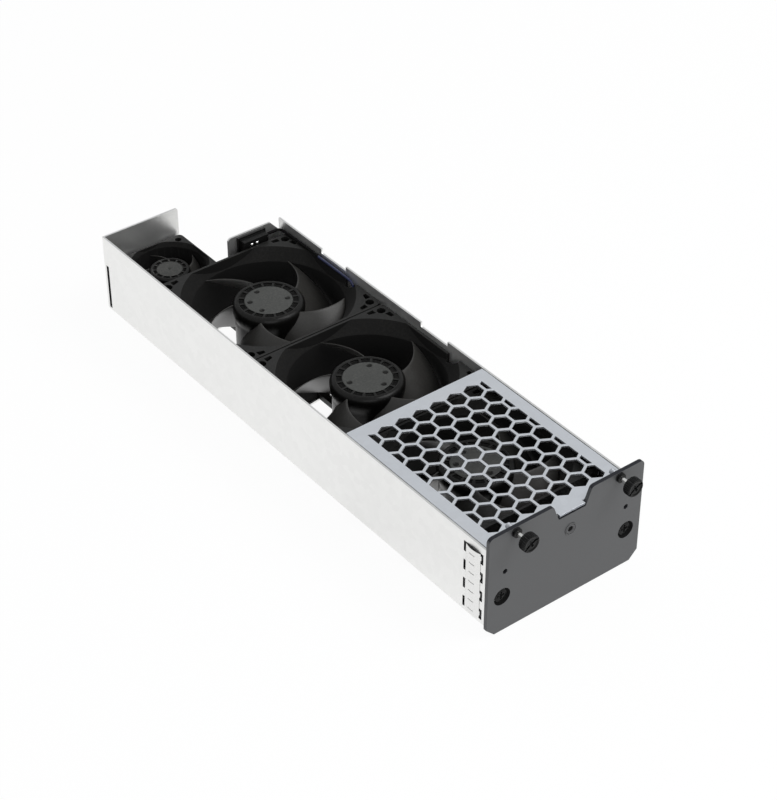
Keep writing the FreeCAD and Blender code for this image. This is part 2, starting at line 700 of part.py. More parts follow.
def make_impeller(label, height, bore, hub, window, blades):
    """Hub cup with twisted, forward-swept blades."""
    foot = S.base_lift + S.base_thick + S.hub_clearance
    top = height - S.hub_sink
    inner = hub - S.hub_wall
    cup = new_body(label + "_hub", keep=False)
    outside = sketch_on(cup, "XY", foot)
    circle(outside, ZERO, ZERO, hub)
    pad(cup, outside, top - foot)
    inside = sketch_on(cup, "XY", top - S.hub_top)
    flats(inside, ZERO, ZERO, inner, CUP_SIDES)
    pocket(cup, inside, top - S.hub_top - foot)
    view = sketch_on(cup, "XY", top)
    circle(view, ZERO, ZERO, window)
    pocket(cup, view, S.hub_top)
    low, high = foot + S.blade_bottom, top - S.blade_top
    tip = bore - S.blade_gap
    shape = blade_solid((hub - S.hub_wall / 2).value, tip.value, low.value, high.value)
    pieces = [cup]
    for k in range(blades):
        blade = doc.addObject("Part::Feature", f"{label}_blade_{k + 1}")
        blade.Shape = shape
        blade.Placement = FreeCAD.Placement(V(), FreeCAD.Rotation(V(0, 0, 1), 360 / blades * k))
        pieces.append(blade)
    whole = doc.addObject("Part::MultiFuse", label)
    whole.Shapes = pieces
    doc.recompute()
    return whole


def make_rotor(label, height, hub):
    """Steel cup with the magnet ring inside the hub, and its shaft; its plate shows in the hub's window."""
    foot = S.base_lift + S.base_thick + S.hub_clearance + 0.4
    plate = height - S.hub_sink - S.hub_top - 0.05
    outside = hub - S.hub_wall - 0.05
    inside = outside - S.magnet_wall
    low = S.base_lift + 1.3
    body = new_body(label, keep=False)
    cup = sketch_on(body, "XY", foot)
    flats(cup, ZERO, ZERO, outside, CUP_SIDES)
    pad(body, cup, plate - foot)
    hollow = sketch_on(body, "XY", plate - 1.4)
    flats(hollow, ZERO, ZERO, inside, CUP_SIDES)
    pocket(body, hollow, plate - 1.4 - foot)
    spindle = sketch_on(body, "XY", low)
    circle(spindle, ZERO, ZERO, S.shaft_radius)
    pad(body, spindle, plate - 1.4 - low)
    return body


def make_stator(label, height, hub, tower):
    """Four wound poles round the bearing tower."""
    body = new_body(label, keep=False)
    low = S.base_lift + S.base_thick + 3.4
    tall = height * 0.4
    reach = hub - S.hub_wall - 0.1 - S.magnet_wall - S.air_gap
    core = sketch_on(body, "XY", low)
    flats(core, ZERO, ZERO, tower + 1.6, 8)
    pad(body, core, tall)
    pole = sketch_on(body, "XY", low)
    rectangle(pole, tower + 1, -tower / 2, reach - tower - 1.2, tower)
    ring_of(body, pad(body, pole, tall), 4)
    shoe = sketch_on(body, "XY", low)
    rectangle(shoe, reach * 0.8 - 1, -reach * 0.5, reach * 0.06 + 1, reach)
    ring_of(body, pad(body, shoe, tall), 4)
    hole = sketch_on(body, "XY", low + tall)
    flats(hole, ZERO, ZERO, tower + 0.05, 8)
    pocket(body, hole, tall)
    return body


def make_board(label, hub, tower):
    """Motor circuit board between the base and the stator."""
    body = new_body(label, keep=False)
    half = hub * 0.72
    cut = half * 0.42
    outline = sketch_on(body, "XY", S.base_lift + S.base_thick + 0.3)
    polygon(outline, [(half, -cut), (half, cut), (cut, half), (-cut, half), (-half, cut), (-half, -cut),
                      (-cut, -half), (cut, -half)])
    flats(outline, ZERO, ZERO, tower + 0.05, 8)
    pad(body, outline, as_size(1.2))
    return body


def make_bearing(label, height, tower):
    """Bearing sleeve pressed into the tower; its flats keep it from turning."""
    body = new_body(label, keep=False)
    outline = sketch_on(body, "XY", S.base_lift + 1.6)
    flats(outline, ZERO, ZERO, tower - S.tower_wall)
    circle(outline, ZERO, ZERO, S.shaft_radius + S.running_gap)
    pad(body, outline, height * 0.62 - 2.2)
    return body


def make_screws(label, spacing, hole, depth):
    """Four screws up through the floor into the frame's corner holes."""
    heads = new_body(label + "_one", keep=False)
    head = sketch_on(heads, "XY", -S.sheet - 1.8)
    flats(head, ZERO, ZERO, hole + 1.4, SCREW_SIDES)
    pad(heads, head, as_size(1.8))
    shank = sketch_on(heads, "XY", -S.sheet)
    flats(shank, ZERO, ZERO, hole, SCREW_SIDES)
    pad(heads, shank, depth + S.sheet)
    copies = []
    for sx in (-1, 1):
        for sy in (-1, 1):
            copy = doc.addObject("Part::Compound", f"{label}_copy")
            copy.Links = [heads]
            bind(copy, "Placement.Base.x", spacing / 2 * sx)
            bind(copy, "Placement.Base.y", spacing / 2 * sy)
            copies.append(copy)
    group = doc.addObject("Part::Compound", label)
    group.Links = copies
    doc.recompute()
    return group


def place_copy(label, template, x, y, z, turn=0.0):
    """A placed copy of one of the fan's pieces."""
    copy = doc.addObject("Part::Compound", "Copy_" + label)
    copy.Label = label
    copy.Links = [template]
    copy.Placement = FreeCAD.Placement(V(), FreeCAD.Rotation(V(0, 0, 1), turn))
    bind(copy, "Placement.Base.x", x)
    bind(copy, "Placement.Base.y", y)
    bind(copy, "Placement.Base.z", z)
    nodes.append(copy)
    return copy


def fan_templates(prefix, side, height, bore, flare, flare_depth, corner, screws, hole, hub, window, tower,
                  large):
    return {
        "frame": make_frame(prefix + "_frame", side, height, bore, flare, flare_depth, corner, screws, hole, hub,
                            tower, large),
        "impeller": make_impeller(prefix + "_impeller", height, bore, hub, window, 5),
        "rotor": make_rotor(prefix + "_rotor", height, hub),
        "bearing": make_bearing(prefix + "_bearing", height, tower),
        "stator": make_stator(prefix + "_stator", height, hub, tower),
        "board": make_board(prefix + "_board", hub, tower),
        "screws": make_screws(prefix + "_screws", screws, hole, S.screw_bite),
    }


def make_fans():
    large = fan_templates("large", S.fan_side, S.fan_height, S.fan_bore, S.fan_flare, S.fan_flare_depth,
                          S.fan_corner, S.fan_screws, S.fan_screw_hole, S.hub_radius, S.hub_window,
                          S.tower_radius, True)
    turns = (94.0, -72.0, 30.0)
    for number in range(FAN_COUNT):
        for piece, template in large.items():
            place_copy(f"fan_{number + 1}_{piece}", template, fan_x, rear_fan_y - fan_pitch * number,
                       floor_top, turns[number] if piece in ("impeller", "rotor") else 0.0)
    small = fan_templates("small", S.small_side, S.small_height, S.small_bore, S.small_flare,
                          S.small_flare_depth, S.small_corner, S.small_screws, S.small_screw_hole,
                          S.small_hub_radius, S.small_hub_window, S.tower_radius * 0.8, False)
    for piece, template in small.items():
        place_copy(f"small_fan_{piece}", template, small_x, small_y, floor_top)


# Panel hardware

def make_thumbscrews():
    """Captive thumbscrews drawn out of the panel, each in a ferrule, with a spring washer under its head."""
    head_back = S.knob_reach - S.knob_thick
    shoulder = -S.panel_thick - 0.1
    tip = shoulder - 3.5
    bore = S.shank_radius + S.slip
    for name, x in (("left", left + S.knob_inset), ("right", panel_right - S.knob_inset)):
        turned(f"ferrule_{name}", [
            (bore, -S.panel_thick), (S.ferrule_radius, -S.panel_thick), (S.ferrule_radius, S.ferrule_proud),
            (bore, S.ferrule_proud),
        ], x, front, knob_height, FACING_FRONT)
        turned(f"thumbscrew_{name}", [
            (ZERO, tip), (S.thread_radius, tip), (S.thread_radius, shoulder), (S.shank_radius, shoulder),
            (S.shank_radius, head_back), (S.knob_radius, head_back), (S.knob_radius, S.knob_reach),
            (ZERO, S.knob_reach),
        ], x, front, knob_height, FACING_FRONT)
        washer_front = head_back - S.slip
        turned(f"thumb_washer_{name}", [
            (bore, washer_front - S.washer_thick),
            (S.washer_radius, washer_front - S.washer_thick), (S.washer_radius, washer_front),
            (bore, washer_front),
        ], x, front, knob_height, FACING_FRONT)


def make_panel_screws():
    """Screws that sit in the panel's countersunk holes and clamp the tray's front flange."""
    low = -S.panel_thick
    for name, x in (("left", left + S.screw_inset), ("right", panel_right - S.screw_inset)):
        turned(f"panel_screw_{name}", [
            (ZERO, low - S.sheet - 3), (S.screw_shank, low - S.sheet - 3), (S.screw_shank, low),
            (S.screw_head, low), (S.screw_head, low + 1.2), (ZERO, low + 1.2),
        ], x, front, screw_height, FACING_FRONT)


def make_bush():
    """Bush pressed into the middle of the panel."""
    turned("panel_bush", [
        (S.bush_bore, -S.panel_thick), (S.bush_radius, -S.panel_thick), (S.bush_radius, as_size(0.4)),
        (S.bush_bore, as_size(0.4)),
    ], (left + panel_right) / 2 + S.bush_offset, front, bush_height, FACING_FRONT)


def make_gasket():
    """Sprung finger strip that bows out from the left wall and hooks into its slots."""
    body = new_body("finger_gasket")
    start, end = back + S.gasket_front, back + S.gasket_front + S.gasket_span
    top = wall_top - S.gasket_top + S.gasket_slot_height / 2 - 0.3
    tall = gasket_pitch * 3 + S.gasket_slot_height - 0.6
    bow = sketch_on(body, "XY", top - tall)
    wall = left - 0.05
    bulge, thick = S.gasket_bulge - 0.05, S.gasket_thick
    outer = [(wall, start)] + [(wall - bulge * b, start + S.gasket_span * a)
                               for a, b in ((0.14, 0.55), (0.34, 1.0), (0.66, 1.0), (0.86, 0.55))] + [(wall, end)]
    inner = [(wall, end - thick)] + [(wall - (bulge - thick) * b, start + S.gasket_span * a)
                                     for a, b in ((0.84, 0.5), (0.65, 1.0), (0.35, 1.0), (0.16, 0.5))]
    polygon(bow, outer + inner + [(wall, start + thick)])
    pad(body, bow, tall)
    hook = sketch_on(body, "XY", wall_top - S.gasket_top - 2)
    for y in (start, end - S.gasket_thick):
        rectangle(hook, left - 0.05 - S.gasket_thick / 2, y, S.sheet + 0.4 + S.gasket_thick, S.gasket_thick)
    row_of(body, pad(body, hook, as_size(4)), "Z", gasket_pitch, 4, reverse=True)
    slit = sketch_on(body, "YZ", left)
    rectangle(slit, start + S.gasket_span * 0.28, wall_top - S.gasket_top - 0.3, S.gasket_span * 0.55,
              as_size(0.6))
    row_of(body, pocket(body, slit, S.gasket_bulge + 1), "Z", gasket_pitch / 2, 7, reverse=True)
    return body


# Rear connector and the rear fan's lead

def make_connector():
    """Blind-mating socket in the rear tab's window, with two contacts."""
    body = new_body("connector_housing")
    x = left + tab_inset + S.window_inset
    z = wall_top - S.window_top - S.window_height
    fit = 0.1
    start = tab_back - S.sheet - S.housing_depth
    neck = sketch_on(body, "XZ", start)
    rectangle(neck, x + fit, z + fit, S.window_width - 2 * fit, S.window_height - 2 * fit)
    pad(body, neck, S.housing_depth + S.sheet + 0.4, reverse=True)
    flange = sketch_on(body, "XZ", tab_back - S.sheet - 1.4)
    rectangle(flange, x - 1, z - 1, S.window_width + 2, S.window_height + 2)
    pad(body, flange, as_size(1.4), reverse=True)
    socket = sketch_on(body, "XZ", start + S.housing_wall)
    rectangle(socket, x + S.housing_wall, z + S.housing_wall, S.window_width - 2 * S.housing_wall,
              S.window_height - 2 * S.housing_wall)
    pocket(body, socket, S.housing_depth + S.sheet)
    level = z + S.window_height - S.housing_wall - 1
    slots = sketch_on(body, "XZ", start - CUT_OVER)
    for k in range(2):
        rectangle(slots, x + S.contact_inset + S.contact_pitch * k - 0.9, level - 0.9, as_size(1.8), as_size(1.8))
    pocket(body, slots, S.housing_wall + 2 * CUT_OVER)
    for k in range(2):
        contact = new_body(f"contact_{k + 1}")
        blade = sketch_on(contact, "XZ", start - 0.6)
        rectangle(blade, x + S.contact_inset + S.contact_pitch * k - 0.8, level - 0.8, as_size(1.6), as_size(1.6))
        pad(contact, blade, S.housing_depth + 0.6, reverse=True)
    return body


def make_lead():
    """Blue lead from the rear fan's side channel, along the right wall, to the connector."""
    radius, bend = S.lead_radius.value, S.lead_bend.value
    x = inner_right.value - radius - 0.5
    y = rear_fan_y.value - S.fan_side.value / 4 + 2
    z = (floor_top + S.fan_height).value + radius + 0.1
    turn_y = tab_back.value - S.sheet.value - 2.2
    start = V(x, y, floor_top.value + 3.6)
    rise = V(x, y, z)
    corner = V(x, turn_y, z)
    end = V((left + tab_inset + S.window_inset + S.window_width).value + 0.2, turn_y, z)
    edges = []
    reach = start
    for before, here, after in ((start, rise, corner), (rise, corner, end)):
        inward, outward = (before - here).normalize(), (after - here).normalize()
        first, last = here + inward * bend, here + outward * bend
        centre = here + (inward + outward) * bend
        halfway = centre + (here - centre).normalize() * bend
        edges += [Part.LineSegment(reach, first).toShape(), Part.Arc(first, halfway, last).toShape()]
        reach = last
    edges.append(Part.LineSegment(reach, end).toShape())
    path = Part.Wire(edges)
    turns = [math.pi / 4 * k for k in range(9)]
    ring = Part.makePolygon([start + V(radius * math.cos(a), radius * math.sin(a), 0) for a in turns])
    feature = doc.addObject("Part::Feature", "fan_lead")
    feature.Label = "fan_lead"
    feature.Shape = path.makePipe(Part.Face(ring))
    nodes.append(feature)
    print(f"lead: {path.Length:.1f} mm long, {bend} mm bends, volume {feature.Shape.Volume:.1f}")


def check_document():
    doc.recompute()
    for item in doc.Objects:
        if "Invalid" in item.State or "Error" in item.State:
            raise RuntimeError(f"{item.Label} failed: {item.State}")
    for node in nodes:
        shape = node.Shape
        if shape.isNull() or not shape.isValid() or not shape.Solids:
            raise RuntimeError(f"{node.Label} has no valid solid")


def write_parts():
    os.makedirs("parts", exist_ok=True)
    for node in nodes:
        solids = node.Shape.Solids
        shape = solids[0] if len(solids) == 1 else Part.makeCompound(solids)
        shape.exportStep(os.path.join("parts", node.Label + ".step"))
    print(len(nodes), "pieces")


make_tray()
make_panel()
make_grille()
make_fans()
make_thumbscrews()
make_panel_screws()
make_bush()
make_gasket()
make_connector()
make_lead()
check_document()
write_parts()
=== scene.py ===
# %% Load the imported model
import math

import bmesh
import bpy
import numpy as np
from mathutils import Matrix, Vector


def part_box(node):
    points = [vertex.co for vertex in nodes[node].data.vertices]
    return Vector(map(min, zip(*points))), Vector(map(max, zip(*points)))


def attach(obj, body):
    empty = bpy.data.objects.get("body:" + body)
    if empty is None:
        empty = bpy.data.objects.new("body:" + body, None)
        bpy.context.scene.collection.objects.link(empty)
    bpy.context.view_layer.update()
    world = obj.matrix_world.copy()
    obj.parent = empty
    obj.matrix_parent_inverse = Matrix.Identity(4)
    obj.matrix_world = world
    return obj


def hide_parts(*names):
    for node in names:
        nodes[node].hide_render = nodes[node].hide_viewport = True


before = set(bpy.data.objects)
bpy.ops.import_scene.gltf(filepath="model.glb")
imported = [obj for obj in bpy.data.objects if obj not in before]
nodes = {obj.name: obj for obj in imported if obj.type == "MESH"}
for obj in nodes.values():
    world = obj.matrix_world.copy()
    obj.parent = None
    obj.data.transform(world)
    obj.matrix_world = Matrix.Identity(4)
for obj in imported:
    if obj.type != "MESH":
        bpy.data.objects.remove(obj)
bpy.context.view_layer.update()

MM = 0.001

# %% [markdown]
# # A server fan tray, dressed for a photograph
#
# The real object is a tray of folded zinc-plated steel that slides into a rack. Three 80 mm fans
# stand in a row in it, a 40 mm fan sits behind them, a plate with hexagonal holes covers the front
# one, and a grey front panel carries two captive thumbscrews.
#
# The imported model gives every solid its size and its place, and this script never moves them. It
# dresses them: a flat sheet keeps its solid's outline and gets broken edges, while a round, twisted
# or knurled piece is worked out anew as a surface and stands in for its solid.

# %% Places that the pieces share, in millimetres
def middle(node):
    """Centre of a solid's box, in millimetres."""
    low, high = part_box(node)
    return np.array((low + high) / 2) / MM


panel_low, panel_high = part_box("front_panel")
PANEL_FRONT = panel_low.y / MM
PANEL_BACK = panel_high.y / MM
FANS = {}
for name in ("fan_1", "fan_2", "fan_3", "small_fan"):
    low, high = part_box(name + "_frame")
    hub_low, hub_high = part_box(name + "_impeller")
    FANS[name] = {"x": (low.x + high.x) / 2 / MM, "y": (low.y + high.y) / 2 / MM,
                  "hub_low": hub_low.z / MM, "hub_high": hub_high.z / MM}
print("fans at", {name: (round(fan["x"], 2), round(fan["y"], 2)) for name, fan in FANS.items()})

# %% [markdown]
# ## The camera
#
# The photograph looks down at the tray from its front left corner. The camera was fitted to the
# corners of the tray and the panel. A long lens from about a metre keeps the far end of the tray
# from shrinking too much.

# %% Camera at the photograph's angle
camera_data = bpy.data.cameras.new("camera")
camera_data.lens = 98.37
camera_data.sensor_width = 36.0
camera_data.clip_end = 20.0
camera = bpy.data.objects.new("camera", camera_data)
camera.location = Vector((-500.9, -668.85, 660.7)) * MM
camera.rotation_euler = (math.radians(52.54), 0.0, math.radians(-37.79))
bpy.context.scene.collection.objects.link(camera)
bpy.context.scene.camera = camera
print("camera", tuple(round(v, 3) for v in camera.location))

# %% [markdown]
# ## Building a surface from two parameters
#
# Every new piece here is a grid of points. One parameter runs along a profile, the other runs
# round an axis or along a path, and the whole grid is computed at once as an array. One helper
# lists the four corners of every grid cell. Another joins several grids, closes their seams and
# hands the piece to the body that it rides on.

# %% Helpers that turn grids into meshes
def grid(points, wrap_rows=False, wrap_columns=False):
    """Vertices and quads of a (rows, columns, 3) array; a wrapped direction joins its two ends."""
    rows, columns = points.shape[:2]
    index = np.arange(rows * columns).reshape(rows, columns)
    here = index if wrap_rows else index[:-1]
    below = np.roll(index, -1, 0) if wrap_rows else index[1:]
    if not wrap_columns:
        quads = np.stack([here[:, :-1], below[:, :-1], below[:, 1:], here[:, 1:]], -1)
    else:
        quads = np.stack([here, below, np.roll(below, -1, 1), np.roll(here, -1, 1)], -1)
    return points.reshape(-1, 3), quads.reshape(-1, 4)


def outward(points, quads):
    """The quads, turned over if their volume from the origin, the sum of a . (b x c) / 6, is negative."""
    a, b, c, d = (points[quads[:, k]] for k in range(4))
    volume = (a * np.cross(b, c)).sum() + (a * np.cross(c, d)).sum()
    return quads if volume > 0 else quads[:, ::-1]


def mesh_piece(name, grids, finish, body="tray_assembly", sharp=40.0, masks=None):
    """One mesh object from several grids in millimetres, with its seams and poles closed."""
    counts = np.cumsum([0] + [len(points) for points, quads in grids])
    quads = np.concatenate([outward(*part) + start for part, start in zip(grids, counts)])
    points = np.concatenate([points for points, quads in grids]) * MM
    mesh = bpy.data.meshes.new(name)
    mesh.from_pydata(points.tolist(), [], quads.tolist())
    for label, values in (masks or {}).items():
        shades = mesh.attributes.new(label, "FLOAT", "POINT")
        shades.data.foreach_set("value", values.astype(np.float32).ravel())
    close_mesh(mesh, sharp)
    return place_piece(name, mesh, finish, body)


def close_mesh(mesh, sharp):
    """Merges touching points and smooths all but the sharp edges."""
    work = bmesh.new()
    work.from_mesh(mesh)
    bmesh.ops.remove_doubles(work, verts=work.verts, dist=1e-6)
    bmesh.ops.dissolve_degenerate(work, dist=1e-7, edges=work.edges)
    work.to_mesh(mesh)
    work.free()
    mesh.polygons.foreach_set("use_smooth", np.ones(len(mesh.polygons), bool))
    mesh.set_sharp_from_angle(angle=math.radians(sharp))


def place_piece(name, mesh, finish, body="tray_assembly"):
    """An object for a mesh, with its finish, on the body that carries it."""
    piece = bpy.data.objects.new(name, mesh)
    bpy.context.scene.collection.objects.link(piece)
    mesh.materials.append(finish)
    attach(piece, body)
    return piece


def soften(corners, radius, steps=4):
    """Rounds an outline: corner B becomes (1-t)^2 A + 2t(1-t) B + t^2 C, with A and C one radius away."""
    corners = np.asarray(corners, float)
    radius = np.broadcast_to(np.asarray(radius, float).reshape(-1, 1), (len(corners), 1))
    sides = [np.roll(corners, 1, 0) - corners, np.roll(corners, -1, 0) - corners]
    ends = [corners + side * np.minimum(radius / np.linalg.norm(side, axis=1, keepdims=True), 0.45)
            for side in sides]
    t = np.linspace(0, 1, steps + 1)[None, :, None]
    curve = (1 - t) ** 2 * ends[0][:, None] + 2 * t * (1 - t) * corners[:, None] + t ** 2 * ends[1][:, None]
    return curve.reshape(-1, 2)


def turned(profile, steps, x=0.0, y=0.0, z=0.0, along="z", radial=None, drop=None):
    """A closed (radius, height) profile carried round an axis: x = r cos a, y = r sin a, z = height.

    radial scales the radius and drop lowers the height, each per profile point and angle.
    """
    angles = np.linspace(0, 2 * math.pi, steps, endpoint=False) if np.isscalar(steps) else np.asarray(steps)
    radius = profile[:, 0][:, None] * (np.ones(len(angles))[None] if radial is None else radial)
    height = profile[:, 1][:, None] - (np.zeros((len(profile), len(angles))) if drop is None else drop)
    height = np.broadcast_to(height, radius.shape)
    if along == "z":
        points = np.stack([x + radius * np.cos(angles), y + radius * np.sin(angles), z + height], -1)
    else:
        points = np.stack([x + radius * np.cos(angles), y + height, z + radius * np.sin(angles)], -1)
    return grid(points, wrap_rows=True, wrap_columns=True)


def ease(values, low, high):
    """0 below low, 1 above high and a smooth S between: t * t * (3 - 2 t)."""
    t = np.clip((values - low) / (high - low), 0, 1)
    return t * t * (3 - 2 * t)


print("a softened square has", len(soften([(0, 0), (1, 0), (1, 1), (0, 1)], 0.1)), "points")

# %% [markdown]
# ## Effects that several finishes share
#
# Real surfaces are never one flat colour. Paint has a fine grain, sheet metal a faint crystal
# pattern, worked edges shine, and dust lies on faces that look up. Each effect is a node group that
# gives out only masks, tones and normals, and every material mixes them itself. All patterns read
# Object coordinates, so they stay on the piece when it turns.

# %% Node group helpers
def new_group(name, inputs, outputs):
    """An empty node group with its inputs and outputs, and the two nodes inside that stand for them."""
    tree = bpy.data.node_groups.new(name, "ShaderNodeTree")
    for label, value in inputs:
        socket = tree.interface.new_socket(label, in_out="INPUT", socket_type="NodeSocketFloat")
        socket.default_value = value
    for label, kind in outputs:
        tree.interface.new_socket(label, in_out="OUTPUT", socket_type=kind)
    return tree, tree.nodes.new("NodeGroupInput"), tree.nodes.new("NodeGroupOutput")


def math_node(tree, operation, *values, clamp=False):
    """The result of a sum on values that are numbers or sockets."""
    node = tree.nodes.new("ShaderNodeMath")
    node.operation = operation
    node.use_clamp = clamp
    for socket, value in zip(node.inputs, values):
        if isinstance(value, (int, float)):
            socket.default_value = value
        else:
            tree.links.new(value, socket)
    return node.outputs[0]


def noise(tree, vector, scale, detail=3.0, roughness=0.55):
    """A noise between 0 and 1, whose scale is a number or a socket."""
    node = tree.nodes.new("ShaderNodeTexNoise")
    node.inputs["Detail"].default_value = detail
    node.inputs["Roughness"].default_value = roughness
    tree.links.new(vector, node.inputs["Vector"])
    if isinstance(scale, (int, float)):
        node.inputs["Scale"].default_value = scale
    else:
        tree.links.new(scale, node.inputs["Scale"])
    return node.outputs["Fac"]


def object_coordinates(tree):
    return tree.nodes.new("ShaderNodeTexCoord").outputs["Object"]


# %% The shared effects: grain, worn edges, settled dust and crystal pattern
grain_group, given, out = new_group("surface_grain", [("Scale", 2500.0), ("Depth", 0.02)],
                                    [("Tone", "NodeSocketFloat"), ("Normal", "NodeSocketVector")])
place = object_coordinates(grain_group)
fine = noise(grain_group, place, given.outputs["Scale"], 2.0)
broad = noise(grain_group, place, 35.0, 3.0)
bump = grain_group.nodes.new("ShaderNodeBump")
bump.inputs["Distance"].default_value = 0.0002
grain_group.links.new(given.outputs["Depth"], bump.inputs["Strength"])
grain_group.links.new(fine, bump.inputs["Height"])
tone = math_node(grain_group, "MULTIPLY_ADD", fine, 0.4, math_node(grain_group, "MULTIPLY", broad, 0.6))
grain_group.links.new(tone, out.inputs["Tone"])
grain_group.links.new(bump.outputs["Normal"], out.inputs["Normal"])

edge_group, given, out = new_group("worn_edges", [("Radius", 0.0004), ("Amount", 1.0)],
                                   [("Mask", "NodeSocketFloat")])
round_normal = edge_group.nodes.new("ShaderNodeBevel")
round_normal.samples = 4
edge_group.links.new(given.outputs["Radius"], round_normal.inputs["Radius"])
flat_normal = edge_group.nodes.new("ShaderNodeNewGeometry").outputs["Normal"]
agree = edge_group.nodes.new("ShaderNodeVectorMath")
agree.operation = "DOT_PRODUCT"
edge_group.links.new(round_normal.outputs["Normal"], agree.inputs[0])
edge_group.links.new(flat_normal, agree.inputs[1])
bend = math_node(edge_group, "MULTIPLY", math_node(edge_group, "SUBTRACT", 1.0, agree.outputs["Value"]), 6.0)
patchy = noise(edge_group, object_coordinates(edge_group), 700.0, 3.0)
worn = math_node(edge_group, "MULTIPLY", bend, math_node(edge_group, "MULTIPLY", patchy, 1.6))
edge_group.links.new(math_node(edge_group, "MULTIPLY", worn, given.outputs["Amount"], clamp=True),
                     out.inputs["Mask"])

dust_group, given, out = new_group("settled_dust", [("Amount", 0.3)], [("Mask", "NodeSocketFloat")])
place = object_coordinates(dust_group)
specks = math_node(dust_group, "POWER", noise(dust_group, place, 900.0, 4.0, 0.7), 3.0)
drifts = noise(dust_group, place, 60.0, 3.0)
split = dust_group.nodes.new("ShaderNodeSeparateXYZ")
dust_group.links.new(dust_group.nodes.new("ShaderNodeNewGeometry").outputs["Normal"], split.inputs[0])
upward = math_node(dust_group, "MAXIMUM", split.outputs["Z"], 0.0)
laid = math_node(dust_group, "MULTIPLY", math_node(dust_group, "MULTIPLY", specks, drifts), 8.0)
laid = math_node(dust_group, "MULTIPLY", laid, upward)
dust_group.links.new(math_node(dust_group, "MULTIPLY", laid, given.outputs["Amount"], clamp=True),
                     out.inputs["Mask"])

crystal_group, given, out = new_group("zinc_crystals", [("Scale", 220.0)], [("Tone", "NodeSocketFloat")])
cells = crystal_group.nodes.new("ShaderNodeTexVoronoi")
crystal_group.links.new(object_coordinates(crystal_group), cells.inputs["Vector"])
crystal_group.links.new(given.outputs["Scale"], cells.inputs["Scale"])
shade = crystal_group.nodes.new("ShaderNodeSeparateColor")
crystal_group.links.new(cells.outputs["Color"], shade.inputs[0])
crystal_group.links.new(shade.outputs[0], out.inputs["Tone"])
print("shared effects:", [g.name for g in bpy.data.node_groups])

# %% [markdown]
# ## Finishes
#
# One function lays out the common recipe: two close shades mixed by the grain's tone, dust over
# them, lighter worn edges, and a roughness that follows the same tone. Each finish then only names
# its own numbers. Metal shows mostly what it mirrors, so the zinc looks nearly white where it
# mirrors the white floor and dark where it mirrors black fans.

# %% One recipe for a finish
DUST = (0.42, 0.41, 0.38)
CRYSTAL_STRENGTH = 0.22
CRYSTAL_DARKNESS = 0.82
MATT_ROUGHNESS = 0.85


def place_group(tree, group, **values):
    node = tree.nodes.new("ShaderNodeGroup")
    node.node_tree = group
    for label, value in values.items():
        node.inputs[label].default_value = value
    return node


def blend(tree, factor, first, second):
    """A colour between two, each of them a colour or a socket."""
    node = tree.nodes.new("ShaderNodeMix")
    node.data_type = "RGBA"
    for index, value in ((0, factor), (6, first), (7, second)):
        if isinstance(value, bpy.types.NodeSocket):
            tree.links.new(value, node.inputs[index])
        elif index == 0:
            node.inputs[index].default_value = value
        else:
            node.inputs[index].default_value = (*value, 1.0)
    return node.outputs[2]


def grey(value):
    return (value, value, value)


def finish(name, dark, light, rough, metallic=0.0, grain=(2500, 0.02), worn=None, dust=0.0, crystals=0.0,
           painted_shade_mask=None, painted_shade_colour=grey(0.004), specular=0.5):
    """A material: two shades mixed by the grain, then crystals, dust and worn edges laid over them.

    grain is scale and depth, worn is colour and amount. The mask argument names an attribute of the mesh
    that marks painted shade; where it is 1 the colour is the painted shade colour and the surface is matt.
    """
    material = bpy.data.materials.new(name)
    material.use_nodes = True
    tree = material.node_tree
    shader = tree.nodes["Principled BSDF"]
    shader.inputs["Metallic"].default_value = metallic
    shader.inputs["Specular IOR Level"].default_value = specular
    surface = place_group(tree, grain_group, Scale=grain[0], Depth=grain[1])
    tone = surface.outputs["Tone"]
    colour = blend(tree, tone, dark, light)
    if crystals:
        spangle = place_group(tree, crystal_group, Scale=crystals)
        faint = math_node(tree, "MULTIPLY", spangle.outputs["Tone"], CRYSTAL_STRENGTH)
        colour = blend(tree, faint, colour, tuple(v * CRYSTAL_DARKNESS for v in light))
    # Painted shade: where the named attribute is 1, the colour turns to a near-black shade colour.
    if painted_shade_mask:
        mask = tree.nodes.new("ShaderNodeAttribute")
        mask.attribute_name = painted_shade_mask
        colour = blend(tree, mask.outputs["Fac"], colour, painted_shade_colour)
    if dust:
        settled = place_group(tree, dust_group, Amount=dust)
        colour = blend(tree, settled.outputs["Mask"], colour, DUST)
    if worn:
        edges = place_group(tree, edge_group, Amount=worn[1])
        colour = blend(tree, edges.outputs["Mask"], colour, worn[0])
    tree.links.new(colour, shader.inputs["Base Color"])
    spread = math_node(tree, "MULTIPLY_ADD", tone, rough[1] - rough[0], rough[0])
    if painted_shade_mask:
        matt = math_node(tree, "MULTIPLY", mask.outputs["Fac"], MATT_ROUGHNESS)
        spread = math_node(tree, "MAXIMUM", spread, matt)
    tree.links.new(spread, shader.inputs["Roughness"])
    tree.links.new(surface.outputs["Normal"], shader.inputs["Normal"])
    return material


